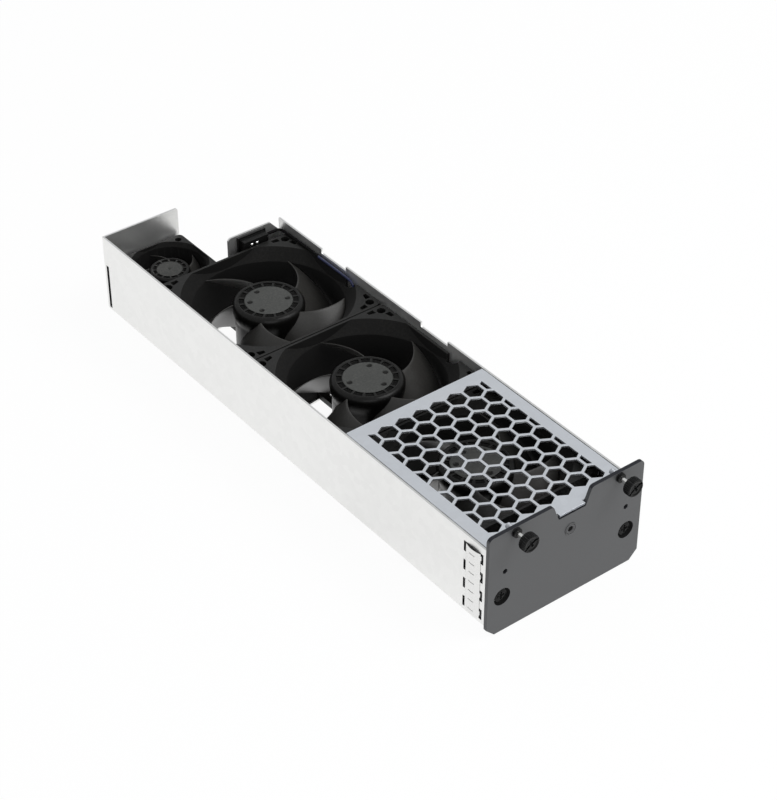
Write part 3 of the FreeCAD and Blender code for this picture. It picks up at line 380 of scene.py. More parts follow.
# %% The object's finishes
# The second, darker colours of zinc_sheet, grille_zinc and panel_coat are painted shade for their marked cut
# faces.
zinc_sheet = finish("zinc_sheet", (0.90, 0.90, 0.885), (0.97, 0.97, 0.96), (0.28, 0.42), metallic=0.86,
                    grain=(900, 0.05), crystals=260.0, worn=(grey(0.98), 0.4), painted_shade_mask="painted_cut_shade",
                    painted_shade_colour=grey(0.025))
grille_zinc = finish("grille_zinc", (0.83, 0.87, 0.93), (0.93, 0.96, 1.0), (0.34, 0.5), metallic=1.0,
                     grain=(900, 0.05), crystals=300.0, worn=(grey(0.97), 0.4), painted_shade_mask="painted_cut_shade",
                     painted_shade_colour=(0.42, 0.44, 0.48))
panel_coat = finish("panel_coat", (0.084, 0.086, 0.088), (0.112, 0.114, 0.117), (0.34, 0.5),
                    grain=(1600, 0.12), worn=((0.2, 0.2, 0.21), 0.15), painted_shade_mask="painted_cut_shade",
                    painted_shade_colour=(0.02, 0.021, 0.027))
# Near-black matt coat: painted shade for the sunk rings, the gasket's inner side and the shaded run of the
# lead.
painted_shade_black = finish("painted_shade_black", grey(0.002), grey(0.006), (0.6, 0.8), grain=(1600, 0.12), specular=0.12)
sunk_screw = finish("sunk_screw", grey(0.001), grey(0.003), (0.16, 0.3), grain=(1800, 0.1),
                    worn=(grey(0.08), 0.4), specular=0.1)
spring_steel = finish("spring_steel", (0.80, 0.80, 0.79), (0.88, 0.88, 0.87), (0.2, 0.34), metallic=0.9,
                      grain=(500, 0.04))
eyelet_steel = finish("eyelet_steel", (0.075, 0.076, 0.078), (0.11, 0.11, 0.115), (0.34, 0.5),
                      grain=(1800, 0.05), painted_shade_mask="pit", worn=(grey(0.2), 0.3))
contact_metal = finish("contact_metal", (0.90, 0.90, 0.88), (0.98, 0.98, 0.96), (0.1, 0.22), metallic=1.0,
                       grain=(700, 0.03))
# The thread is a darker, duller copy of the shank's bright steel: painted shade behind the panel.
thread_steel_painted_shade = finish("thread_steel_painted_shade", (0.50, 0.52, 0.55), (0.62, 0.64, 0.68), (0.45, 0.6), metallic=1.0,
                      grain=(700, 0.03))
black_oxide = finish("black_oxide", grey(0.002), grey(0.006), (0.12, 0.22), grain=(1800, 0.1),
                     worn=((0.09, 0.09, 0.095), 0.5), specular=0.14)
# frame_plastic's second, nearly black colour is painted shade inside the fans' mouths.
frame_plastic = finish("frame_plastic", grey(0.005), (0.010, 0.010, 0.0095), (0.36, 0.5),
                       grain=(2200, 0.07), worn=((0.05, 0.05, 0.047), 0.6), dust=0.03, painted_shade_mask="bore_painted_shade",
                       painted_shade_colour=(0.0015, 0.0013, 0.0011), specular=0.35)
# The blades and the hub are one moulding of one black plastic: the blades' lighter colour is painted light,
# the hub's darker colour painted shade.
blade_plastic_painted_light = finish("blade_plastic_painted_light", (0.029, 0.028, 0.026), (0.049, 0.047, 0.044), (0.3, 0.42),
                       grain=(2200, 0.05), worn=((0.08, 0.078, 0.072), 0.6), dust=0.05, specular=0.4)
hub_plastic_painted_shade = finish("hub_plastic_painted_shade", grey(0.003), (0.007, 0.0065, 0.006), (0.24, 0.36), grain=(2200, 0.05),
                     worn=((0.05, 0.05, 0.048), 0.5), dust=0.03, painted_shade_mask="pit", painted_shade_colour=grey(0.0005),
                     specular=0.22)
# The rotor paints' nearly black second colour is painted shade in the disc's pits.
rotor_paint = finish("rotor_paint", (0.054, 0.056, 0.053), (0.080, 0.083, 0.079), (0.4, 0.56),
                     grain=(1500, 0.12), painted_shade_mask="pit", painted_shade_colour=grey(0.002), dust=0.1, specular=0.3)
small_rotor_paint = finish("small_rotor_paint", (0.038, 0.039, 0.037), (0.056, 0.058, 0.055), (0.4, 0.56),
                           grain=(1500, 0.12), painted_shade_mask="pit", painted_shade_colour=grey(0.002), dust=0.1, specular=0.3)
socket_plastic = finish("socket_plastic", grey(0.003), grey(0.008), (0.3, 0.45), grain=(2200, 0.08),
                        worn=(grey(0.04), 0.4), specular=0.25)
lead_cover = finish("lead_cover", (0.012, 0.018, 0.07), (0.022, 0.034, 0.13), (0.3, 0.42),
                    grain=(900, 0.05), dust=0.15)
rotor_steel = finish("rotor_steel", (0.32, 0.32, 0.31), (0.42, 0.42, 0.41), (0.3, 0.5), metallic=1.0,
                     grain=(700, 0.06))
bearing_bronze = finish("bearing_bronze", (0.42, 0.3, 0.16), (0.56, 0.42, 0.24), (0.35, 0.5), metallic=1.0,
                        grain=(2000, 0.1))
copper_winding = finish("copper_winding", (0.42, 0.17, 0.08), (0.66, 0.3, 0.15), (0.25, 0.4), metallic=0.9,
                        grain=(1400, 0.3))
board_resin = finish("board_resin", (0.012, 0.08, 0.035), (0.02, 0.13, 0.06), (0.35, 0.5),
                     grain=(600, 0.08), dust=0.1)
print(len(bpy.data.materials), "finishes")

# %% [markdown]
# ## Sheet metal: tray, front panel and grille plate
#
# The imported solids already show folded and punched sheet: flat faces, sharp outlines and holes.
# What they lack is the broken edge that a press tool and the paint leave. A copy of each solid's
# mesh is merged, its flat facets are joined, and a Bevel modifier 0.08 to 0.3 mm wide breaks every
# edge sharper than 32 degrees, so that edges catch the light.

# %% Dressed copies of flat solids
def face_places(mesh):
    """Middle and normal of every face, in millimetres and as unit arrows."""
    middles, normals = np.empty(3 * len(mesh.polygons)), np.empty(3 * len(mesh.polygons))
    mesh.polygons.foreach_get("center", middles)
    mesh.polygons.foreach_get("normal", normals)
    return middles.reshape(-1, 3) / MM, normals.reshape(-1, 3)


def mark_faces(mesh, label, chosen):
    """Writes a value on every face of a mesh, 1 where it is chosen and 0 elsewhere, for a finish to read."""
    mesh.attributes.new(label, "FLOAT", "FACE").data.foreach_set("value", chosen.astype(np.float32))


def dressed_copy(node, name, coat, width, clamp=True):
    """A merged copy of a solid's mesh with a narrow bevel on its edges, in place of the solid.

    clamp keeps a bevel from running into its neighbours.
    """
    sharp = math.radians(32.0)
    work = bmesh.new()
    work.from_mesh(nodes[node].data)
    bmesh.ops.remove_doubles(work, verts=work.verts, dist=1e-6)
    bmesh.ops.dissolve_limit(work, angle_limit=math.radians(0.3), verts=work.verts, edges=work.edges)
    work.verts.index_update()
    points = [v.co[:] for v in work.verts]
    faces = [[v.index for v in face.verts] for face in work.faces]
    work.free()
    mesh = bpy.data.meshes.new(name)
    mesh.from_pydata(points, [], faces)
    mesh.polygons.foreach_set("use_smooth", np.ones(len(mesh.polygons), bool))
    mesh.set_sharp_from_angle(angle=sharp)
    piece = place_piece(name, mesh, coat)
    bevel = piece.modifiers.new("broken_edges", "BEVEL")
    bevel.width = width * MM
    bevel.segments = 2
    bevel.limit_method = "ANGLE"
    bevel.angle_limit = sharp
    bevel.harden_normals = True
    bevel.use_clamp_overlap = clamp
    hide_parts(node)
    return piece


tray = dressed_copy("tray", "tray_sheet", zinc_sheet, 0.12)
panel = dressed_copy("front_panel", "front_panel_sheet", panel_coat, 0.25)
grille = dressed_copy("grille_plate", "grille_sheet", grille_zinc, 0.12)
middles, normals = face_places(panel.data)
# Painted shade on the panel's edge faces and hole walls: full on faces that look up or down, SIDE_SHADE of it
# on faces that look sideways.
SIDE_SHADE = 0.45
shade = np.where(np.abs(normals[:, 2]) > 0.5, 1.0, SIDE_SHADE)
mark_faces(panel.data, "painted_cut_shade", shade * (np.abs(normals[:, 1]) < 0.5))
middles, normals = face_places(grille.data)
# Painted shade on the plate's forward-looking faces in front of the panel's back, where the plate meets the
# panel.
mark_faces(grille.data, "painted_cut_shade", (normals[:, 1] < -0.9) & (middles[:, 1] < PANEL_BACK))
# Painted shade on the walls of the holes through the left wall: near black and matt.
middles, normals = face_places(tray.data)
tray_low, tray_high = (np.array(corner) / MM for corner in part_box("tray"))
in_wall = (middles[:, 0] > tray_low[0] + 0.1) & (middles[:, 0] < tray_low[0] + 0.9)
in_wall &= (middles[:, 2] > tray_low[2] + 2) & (middles[:, 2] < tray_high[2] - 1)
in_wall &= (middles[:, 1] > tray_low[1] + 0.5) & (middles[:, 1] < tray_high[1] - 0.5)
mark_faces(tray.data, "painted_cut_shade", in_wall & (np.abs(normals[:, 0]) < 0.5))
for piece, slot in ((tray, "tray_steel"), (panel, "panel_paint"), (grille, "plate_steel")):
    print(piece.name, len(piece.data.polygons), "faces")

# %% [markdown]
# ## Sunk holes round the panel screws
#
# The panel is pressed in round each lower screw, so that the screw head sits below the face. The
# solid has a plain hole there. A ring with a sloping inner face, turned about the hole's axis,
# fills it as the pressed metal does. It is coloured near black: painted shade in the recess.

# %% Sunk rings
def sunk_ring(name, x, z):
    """Profile: down the slope from the panel's face to its back, then back up along the hole's wall."""
    outer, inner = 4.49, 3.42
    profile = soften([(outer, PANEL_FRONT + 0.01), (outer, PANEL_BACK - 0.02), (inner, PANEL_BACK - 0.02),
                      (inner, PANEL_BACK - 0.35)], [0.02, 0.02, 0.02, 0.3], 3)
    return mesh_piece(name, [turned(profile, 72, x=x, z=z, along="y")], painted_shade_black)


SCREWS = {side: middle("panel_screw_" + side) for side in ("left", "right")}
for side, (x, y, z) in SCREWS.items():
    sunk_ring(f"sunk_ring_{side}", x, z)
print("panel screws at", {side: (round(p[0], 1), round(p[2], 1)) for side, p in SCREWS.items()})

# %% [markdown]
# ## Fan frames
#
# A fan frame is a moulded square block with a round bore, a flared mouth, pocketed corners and a
# motor base on four struts. Its solid has all of these, so a dressed copy keeps them and the bevel
# rounds the moulded edges. The groove where two fans meet then shows as a dark line between two
# light ones, as in the photograph.

# %% Frames of the four fans
for name, fan in FANS.items():
    small = name == "small_fan"
    width = 0.08 if small else 0.3
    piece = dressed_copy(name + "_frame", name + "_shell", frame_plastic, width, clamp=not small)
    middles, normals = face_places(piece.data)
    # Painted shade: faces that look in towards the fan's axis are coloured nearly black and matt.
    from_axis = np.hypot(middles[:, 0] - fan["x"], middles[:, 1] - fan["y"])
    inwards = ((middles[:, 0] - fan["x"]) * normals[:, 0] + (middles[:, 1] - fan["y"]) * normals[:, 1]) < -0.3
    mark_faces(piece.data, "bore_painted_shade", inwards & (normals[:, 2] < 0.97) & (from_axis > 5))
print("frames dressed:", len(FANS))

# %% [markdown]
# ## Impellers
#
# The impeller is one moulding: a cup-shaped hub with twisted, forward-swept blades. The blade is
# the piece that takes the most skill. Its section is a thin rounded strip. Going outwards, the
# strip swings forward round the axis. Going down, it winds backwards, which makes the twist.
# Worked out as a surface of two parameters, distance from the axis and place round the section,
# it has no facets, round leading and trailing edges, a fillet at the hub and a closed tip.

# %% Blade and hub surfaces
def blade(hub, tip, low, high, turn, thick=2.4, wrap=58.0, sweep=36.0):
    """Rows a run from hub to tip, columns p run round the section.

    height = low + (high - low) u with u = (1 + cos p) / 2, and
    angle = turn + sweep (a - 1/2) - wrap (1 - u) + half thickness / radius, where the half
    thickness is thick/2 * sign(sin p) * |sin p| ^ 0.45, wider at the hub and closed at both ends.
    """
    tip_from, tip_part = 0.96, 0.04
    a = np.concatenate([[0.0, 0.001], np.linspace(0.02, tip_from, 26),
                        tip_from + tip_part * np.sin(np.linspace(0.3, math.pi / 2, 5))])
    p = np.linspace(0, 2 * math.pi, 64, endpoint=False)
    a, p = a[:, None], p[None]
    radius = hub + (tip - hub) * a
    u = np.where(a > 0, (1 + np.cos(p)) / 2, 0.5)
    ends = np.sqrt(np.clip(1 - ((a - tip_from) / tip_part).clip(0, 1) ** 2, 0, 1)) * (a > 0)
    root = 1 + 0.9 * np.exp(-(radius - hub) / 1.3)
    body = thick * (0.42 + 0.58 * np.sin(math.pi * (0.12 + 0.76 * u)))
    half = body / 2 * np.sign(np.sin(p)) * np.abs(np.sin(p)) ** 0.45 * ends * root
    angle = np.radians(turn + sweep * (a - 0.5) - wrap * (1 - u)) + half / radius
    height = low + (high - low) * u
    points = np.stack([radius * np.cos(angle), radius * np.sin(angle), height + 0 * a], -1)
    return grid(points, wrap_columns=True)


def hub_cup(hub, window, slot_out, low, high, slots=16):
    """The cup's profile carried round; arc slots are sunk into the ring beside the window, with painted shade
    on their floors.

    The side bulges a little, and the shoulder is a quarter of an ellipse from there to the ring on top.
    """
    wall, top, step, slot_depth = 1.4, 1.2, 0.3, 0.85
    pitch = 2 * math.pi / slots
    within = np.array([0.0, 0.11, 0.12, 0.13, 0.5, 0.91, 0.92, 0.93])
    angles = (np.arange(slots)[:, None] + within[None]).ravel() * pitch
    open_at = np.tile((within > 0.12) & (within < 0.92), slots).astype(float)
    dark_at = np.tile((within > 0.11) & (within < 0.93), slots).astype(float)
    slot_in = window + 0.08
    lip = slot_out + 0.45
    bulge = 0.07 * hub
    rim = np.linspace(0, math.pi / 2, 11)
    wide, tall = hub + bulge - lip - 0.1, 0.21 * hub
    skirt = np.array([(hub, high - 0.62 * hub), (hub + 0.4 * bulge, high - 0.5 * hub),
                      (hub + 0.8 * bulge, high - 0.38 * hub), (hub + 0.97 * bulge, high - 0.28 * hub)])
    round_rim = np.stack([hub + bulge - wide + wide * np.cos(rim), high - tall + tall * np.sin(rim)], -1)
    ring = (lip - 0.25, slot_out + 0.02, slot_out, slot_out, slot_in, slot_in, slot_in - 0.02, window)
    face = np.array([(lip, high)] + [(radius, high - step) for radius in ring])
    # Painted shade: the slot floors and walls are marked to be coloured nearly black by the finish.
    sink, dark = np.zeros(len(face)), np.zeros(len(face))
    sink[4:6] = slot_depth
    dark[3:7] = 1.0
    inside = np.array([(window, high - top), (hub - wall, high - top), (hub - wall, low), (hub - 0.3, low),
                       (hub, low + 0.3)])
    profile = np.concatenate([skirt, round_rim, face, inside])
    before, after = np.zeros(len(skirt) + len(round_rim)), np.zeros(len(inside))
    sink = np.concatenate([before, sink, after])[:, None] * open_at[None]
    dark = np.concatenate([before, dark, after])[:, None] * dark_at[None]
    return turned(profile, angles, drop=sink), dark


def shifted(part, x, y, z=0.0):
    return part[0] + np.array([x, y, z]), part[1]


IMPELLERS = {"fan_1": (17.0, 37.7, 12.2, 15.0, 94.0), "fan_2": (17.0, 37.7, 12.2, 15.0, -72.0),
             "fan_3": (17.0, 37.7, 12.2, 15.0, 30.0), "small_fan": (10.0, 18.3, 6.9, 8.6, 0.0)}
for name, (hub, tip, window, slot_out, turn) in IMPELLERS.items():
    fan = FANS[name]
    cup, dark = hub_cup(hub, window, slot_out, fan["hub_low"], fan["hub_high"], 16 if hub > 12 else 12)
    blades = [blade(hub - 0.7, tip, fan["hub_low"] + 2.6, fan["hub_high"] - 1.8, turn + 72 * k)
              for k in range(5)]
    # Painted light on the blades, painted shade on the hub, and nearly black painted shade in the hub's slot
    # floors.
    for kind, parts, coat, masks in (("hub", [cup], hub_plastic_painted_shade, {"pit": dark}),
                                     ("blades", blades, blade_plastic_painted_light, None)):
        piece = mesh_piece(f"{name}_{kind}", [shifted(part, fan["x"], fan["y"]) for part in parts], coat,
                           name + "_spinner", sharp=38.0, masks=masks)
        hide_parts(name + "_impeller")
        print(piece.name, len(piece.data.polygons), "faces")

# %% [markdown]
# ## The rotor face in each hub
#
# The grey disc in the hub's window is the steel cup of the motor. Four small holes near its edge
# show as dark dots, on the small fan one in the middle. The disc is a height field over rings and
# angles: flat, with a rounded rim and shallow pits where the holes are. The same field is kept as an
# attribute, with which the material colours the pits near black: painted shade for the depth of the
# holes. Faint turning marks run round the disc.

# %% Rotor faces
def rotor_face(name, radius, low, high, pit_at, pit_radius, turns, turn, coat):
    """height(r, a) = high - 0.6 * ease(pit_radius - distance to the nearest pit) on rings out to the rim."""
    fan = FANS[name.replace("_rotor_face", "")]
    angles = np.linspace(0, 2 * math.pi, 144, endpoint=False)
    rings = np.concatenate([[0.0], np.linspace(0.15, 1.0, 46) * (radius - 0.25)])
    x, y = rings[:, None] * np.cos(angles), rings[:, None] * np.sin(angles)
    nearest = np.full(x.shape, 99.0)
    for angle in np.radians(np.asarray(turns) + turn):
        nearest = np.minimum(nearest, np.hypot(x - pit_at * math.cos(angle), y - pit_at * math.sin(angle)))
    slope, pit_depth, mark_depth = 0.12, 0.6, 0.02
    pit = ease(-nearest, -pit_radius - slope, -pit_radius + slope)
    marks = mark_depth * np.sin(rings * 9.0)[:, None]
    top = high + marks - pit_depth * pit
    rim = np.array([(radius - 0.08, high - 0.1), (radius, high - 0.3), (radius, low), (0.0, low)])
    edge = rim[:, 0][:, None]
    points = np.concatenate([np.stack([x, y, top], -1),
                             np.stack([edge * np.cos(angles), edge * np.sin(angles),
                                       rim[:, 1][:, None] + 0 * angles[None]], -1)])
    mask = np.concatenate([pit, np.zeros((len(rim), len(angles)))])
    part = shifted(grid(points, wrap_columns=True), fan["x"], fan["y"])
    piece = mesh_piece(name, [part], coat, name.replace("_rotor_face", "_spinner"), masks={"pit": mask})


for name, (hub, tip, window, slot_out, turn) in IMPELLERS.items():
    large = hub > 12
    high = FANS[name]["hub_high"]
    pit_at, pit_radius, pits = (9.4, 1.35, (0, 60, 120, 240)) if large else (0.0, 0.9, (0,))
    rotor_face(name + "_rotor_face", window - 0.12, high - 1.15, high - 0.32, pit_at, pit_radius, pits, turn,
               rotor_paint if large else small_rotor_paint)
print("rotor faces:", len(IMPELLERS))

# %% [markdown]
# ## Thumbscrews, ferrules and washers
#
# Each captive thumbscrew is turned steel blackened in a bath: a knurled head with a slot, a thin
# shank, and a thread behind the panel. Knurling is a wave on the radius round the head, the slot is
# a drop of the head's face, and the thread is a wave that climbs as it goes round.

# %% Thumbscrews
KNOB_RADIUS, KNOB_LENGTH = 4.5, 4.0
NECK_RADIUS, HOLE_RADIUS = 1.08, 1.14
THREAD_RADIUS, THREAD_LENGTH = 1.45, 3.5


def knurled_head(x, z, face, back, radius):
    """Radius r (1 - 0.055 |sin 15 a|) round the rim, and a face lowered by a slot and a small cross."""
    angles = np.linspace(0, 2 * math.pi, 288, endpoint=False)
    rings = np.linspace(0, radius - 0.75, 20)
    rim = np.array([(radius - 0.5, face), (radius - 0.12, face + 0.25), (radius, face + 0.55),
                    (radius, back - 0.5), (radius - 0.3, back - 0.12), (radius - 0.7, back), (0.0, back)])
    flutes = np.concatenate([np.zeros(len(rings)), [0.0, 0.7, 1, 1, 0.7, 0, 0]])[:, None]
    profile = np.concatenate([np.stack([rings, np.full(len(rings), face)], -1), rim])
    wide = 1 - 0.055 * flutes * np.abs(np.sin(15 * angles))[None]
    across = profile[:, 0][:, None] * np.cos(angles - 0.5)
    along = profile[:, 0][:, None] * np.sin(angles - 0.5)
    on_face = (np.arange(len(profile)) < len(rings) + 1)[:, None]
    slot = ease(-np.abs(along), -0.62, -0.5)
    cross = ease(-np.abs(across), -0.6, -0.48) * ease(-np.abs(along), -2.1, -1.9)
    dish = 0.35 * ease(-profile[:, 0], -radius + 1.1, -radius + 1.6)[:, None]
    return turned(profile, angles, x=x, z=z, along="y", radial=wide,
                  drop=-(np.maximum(slot, cross) + dish) * on_face)


def thread(x, z, start, end, radius, pitch=0.5):
    """A rod whose radius waves by 0.15 mm once per pitch and climbs with the angle, closed at both ends."""
    angles = np.linspace(0, 2 * math.pi, 48, endpoint=False)[None]
    height = np.linspace(start, end, 64)
    fade = ease(height, start, start + 0.4) * ease(-height, -end, -end + 0.5)
    wave = (height[:, None] / pitch - angles / (2 * math.pi)) % 1.0
    threads = radius + 0.08 - 0.3 * np.abs(wave - 0.5) - 0.1 * (1 - fade)[:, None]
    radius = np.concatenate([0 * angles, threads, 0 * angles])
    heights = np.concatenate([[start], height, [end]])[:, None] + 0 * angles
    points = np.stack([x + radius * np.cos(angles), heights, z + radius * np.sin(angles)], -1)
    return grid(points, wrap_columns=True)


for side in ("left", "right"):
    low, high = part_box("thumbscrew_" + side)
    x, y, z = middle("thumbscrew_" + side)
    face, end = low.y / MM, high.y / MM
    knob = knurled_head(x, z, face, face + KNOB_LENGTH, KNOB_RADIUS)
    piece = mesh_piece(f"thumb_knob_{side}", [knob], black_oxide, f"thumb_spinner_{side}", sharp=45.0)
    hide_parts("thumbscrew_" + side)
    neck_start, neck_end = face + KNOB_LENGTH - 0.1, end - THREAD_LENGTH + 0.02
    neck = np.array([(0.0, neck_start), (NECK_RADIUS, neck_start), (NECK_RADIUS, neck_end), (0.0, neck_end)])
    rod = thread(x, z, end - THREAD_LENGTH, end, THREAD_RADIUS)
    for part, shape, coat in (("neck", turned(neck, 40, x=x, z=z, along="y"), contact_metal),
                              ("thread", rod, thread_steel_painted_shade)):
        piece = mesh_piece(f"thumb_{part}_{side}", [shape], coat, f"thumb_spinner_{side}", sharp=45.0)
        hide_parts("thumbscrew_" + side)
    print("thumbscrew", side, "from", round(face, 2), "to", round(end, 2))

# %% Ferrules and spring washers
def spring_washer(x, z, front, back, inner, outer):
    """A flat square wire wound once round with a gap: height climbs by 0.12 mm over 344 degrees."""
    climb = 0.12
    angles = np.radians(np.linspace(8, 352, 72))
    section = soften([(inner, front), (outer, front), (outer, back - climb), (inner, back - climb)], 0.08, 2)
    rise = climb * np.linspace(0, 1, len(angles))
    radius = section[:, 0][:, None] + 0 * angles[None]
    height = section[:, 1][:, None] + rise[None]
    ring = np.stack([x + radius * np.cos(angles), height, z + radius * np.sin(angles)], -1)
    caps = ring[:, [0, -1]].mean(0)[None] + 0 * ring[:, [0, -1]]
    closed = np.concatenate([caps[:, :1], ring, caps[:, 1:]], 1)
    return grid(closed, wrap_rows=True)


for side in ("left", "right"):
    low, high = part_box("ferrule_" + side)
    x, y, z = middle("ferrule_" + side)
    front, back = low.y / MM, high.y / MM
    outer, groove = 2.4, 2.15
    profile = soften([(HOLE_RADIUS, front), (outer, front), (outer, front + 1.1), (groove, front + 1.3),
                      (outer, front + 1.5), (outer, back), (HOLE_RADIUS, back)],
                     [0.15, 0.35, 0.1, 0.1, 0.1, 0.05, 0.05])
    piece = mesh_piece(f"panel_ferrule_{side}", [turned(profile, 64, x=x, z=z, along="y")], black_oxide)
    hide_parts("ferrule_" + side)
    low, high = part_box("thumb_washer_" + side)
    piece = mesh_piece(f"split_washer_{side}",
                       [spring_washer(x, z, low.y / MM, high.y / MM, HOLE_RADIUS, 2.3)], contact_metal,
                       f"thumb_slider_{side}")
    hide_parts("thumb_washer_" + side)
print("ferrules and washers stand at", round(front, 2), "and", round(low.y / MM, 2))

# %% [markdown]
# ## Screws with a cross recess
#
# Two black screws hold the panel, and four more hold each fan from below. A screw head is a height
# field on rings and angles: a low dome, lowered inside a cross whose arms taper towards the middle.

# %% Screw heads
def cross_head(radius, dome, recess, steps=72, rings=18):
    """Rings out to near the rim, with height = dome (1 - (r/R)^2) - recess * cross(r, a)."""
    angles = np.linspace(0, 2 * math.pi, steps, endpoint=False)
    ring = np.linspace(0, radius * 0.93, rings)
    x, y = ring[:, None] * np.cos(angles), ring[:, None] * np.sin(angles)
    arm, slope = 0.16 * radius, 0.06
    low, high = -arm - slope, -arm + slope
    inside = np.maximum(ease(-np.abs(x), low, high), ease(-np.abs(y), low, high))
    inside *= ease(-ring, -radius * 0.62, -radius * 0.55)[:, None]
    depth = recess * (1 - 0.45 * (ring / radius))[:, None]
    top = dome * (1 - (ring / radius) ** 2)[:, None] - inside * depth
    return angles, x, y, top


def with_rim(across, along, angles, rim):
    """The rings of a head, carried on by the circles of its rim."""
    edge = rim[:, 0][:, None]
    return np.concatenate([across, edge * np.cos(angles)]), np.concatenate([along, edge * np.sin(angles)])


def panel_screw(x, z, face, back, radius):
    """The cross head seen from the front, its rim, and a plain shank behind it."""
    dome, recess, shank = 0.25, 0.75, 1.5
    angles, across, up, top = cross_head(radius, dome, recess)
    rim = np.array([(radius, 0.12), (radius, face - PANEL_BACK), (shank, face - PANEL_BACK),
                    (shank, face - back), (0.0, face - back)])
    across, up = with_rim(across, up, angles, rim)
    depth = np.concatenate([dome - top, -rim[:, 1][:, None] + 0 * angles[None]])
    depth[len(top)] = 0.22
    return grid(np.stack([x + across, face + depth, z + up], -1), wrap_columns=True)


for side, (x, y, z) in SCREWS.items():
    low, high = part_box("panel_screw_" + side)
    piece = mesh_piece(f"cross_screw_{side}", [panel_screw(x, z, low.y / MM, high.y / MM, 3.3)], sunk_screw)
    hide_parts("panel_screw_" + side)


def floor_screw(x, y, low, high, radius, shank):
    """A pan head below the floor, seen from below, and its shank up into the fan's corner."""
    dome, recess = 0.5, 0.9
    angles, across, along, top = cross_head(radius, dome, recess, 48, 12)
    rim = np.array([(radius * 0.985, low + 0.9), (radius, low + 1.3), (radius, low + 1.8), (shank, low + 1.8),
                    (shank, high), (0.0, high)])
    across, along = with_rim(across, along, angles, rim)
    height = np.concatenate([low + dome - top, rim[:, 1][:, None] + 0 * angles[None]])
    return grid(np.stack([x + across, y + along, height], -1), wrap_columns=True)


for name, fan in FANS.items():
    low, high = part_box(name + "_screws")
    half, head, shank = (35.75, 3.6, 2.15) if name != "small_fan" else (16.0, 3.1, 1.65)
    parts = [floor_screw(fan["x"] + half * sx, fan["y"] + half * sy, low.z / MM, high.z / MM, head, shank)
             for sx in (-1, 1) for sy in (-1, 1)]
    piece = mesh_piece(name + "_floor_screws", parts, black_oxide)
    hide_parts(name + "_screws")
print("screws: 2 in the panel, 16 under the floor")

# %% [markdown]
# ## The eyelet in the panel
#
# A grey eyelet is pressed into the middle of the panel. Its rim is rolled over and its bore is
# widened at the front, so it shows as a light ring round a dark hole.

# %% Eyelet
low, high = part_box("panel_bush")
x, y, z = middle("panel_bush")
front = low.y / MM
profile = np.array([(0.0, PANEL_BACK), (3.2, PANEL_BACK), (3.2, front + 0.3), (3.1, front + 0.08),
                    (2.9, front), (2.7, front + 0.06), (2.62, front + 0.3), (2.5, front + 0.3),
                    (2.42, front + 0.1), (2.2, front + 0.04), (1.5, front + 0.3), (1.3, front + 0.6),
                    (1.2, front + 1.5), (0.0, front + 1.5)])
# Painted shade: the groove inside the rim and the inside of the hole are marked to be coloured nearly black.
dark = np.zeros((len(profile), 72))
dark[[6, 7, 11, 12, 13]] = 1.0
eyelet = mesh_piece("panel_eyelet", [turned(profile, 72, x=x, z=z, along="y")], eyelet_steel,
                    masks={"pit": dark})
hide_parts("panel_bush")
print("eyelet at", round(x, 2), round(z, 2))

# %% [markdown]
# ## Finger gasket
#
# A strip of thin spring steel bows out from the left wall behind the panel and touches the rack
# beside it, to carry away stray currents. Slits part it into fingers, and hooks at both ends go
# through slots in the wall. It is one sheet: a bowed path in plan, carried up the wall, with the
# cells of the slits and of the gaps between the hooks left out. Solidify gives it its thickness.

# %% Finger gasket
low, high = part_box("finger_gasket")
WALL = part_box("tray")[0].x / MM
y_start, y_end = low.y / MM, high.y / MM
HALF_SHEET, HALF_SLIT, HALF_HOOK = 0.12, 0.17, 1.2
bow = low.x / MM + HALF_SHEET
around = np.linspace(0, 1, 25)
bowed = np.stack([WALL - HALF_SHEET - (WALL - 0.14 - bow) * np.sin(math.pi * around) ** 0.7,
                  y_start + 0.6 + (y_end - y_start - 1.2) * around], -1)
hook_in = np.array([(WALL + 1.25, y_start + 0.42), (WALL + 0.9, y_start + 0.4), (WALL + 0.2, y_start + 0.44)])
hook_out = np.stack([hook_in[::-1, 0], y_start + y_end - hook_in[::-1, 1]], -1)
path = np.concatenate([hook_in, bowed, hook_out])
pitch = (high.z - low.z) / MM
slot_pitch = (pitch - 5.2) / 3
slits = high.z / MM - 2.9 - np.arange(7) * slot_pitch / 2
hooks = high.z / MM - 2.6 - np.arange(4) * slot_pitch
levels = np.unique(np.round(np.concatenate([[low.z / MM, high.z / MM], slits - HALF_SLIT, slits + HALF_SLIT,
                                            hooks - HALF_HOOK, hooks + HALF_HOOK]), 3))
strip = np.stack([path[:, 0][:, None] + 0 * levels, path[:, 1][:, None] + 0 * levels,
                  levels[None] + 0 * path[:, 0][:, None]], -1)
points, quads = grid(strip)
row, column = np.divmod(np.arange(len(quads)), len(levels) - 1)
level = (levels[:-1] + levels[1:])[column] / 2
is_hook = (row < 3) | (row >= len(path) - 4)
in_slot = (np.abs(level[:, None] - hooks[None]) < HALF_HOOK).any(1)
in_slit = (np.abs(level[:, None] - slits[None]) < HALF_SLIT / 2).any(1) & (row > 9) & (row < len(path) - 12)
quads = quads[(~is_hook | in_slot) & ~in_slit]
gasket = mesh_piece("gasket_strip", [(points, quads)], spring_steel)
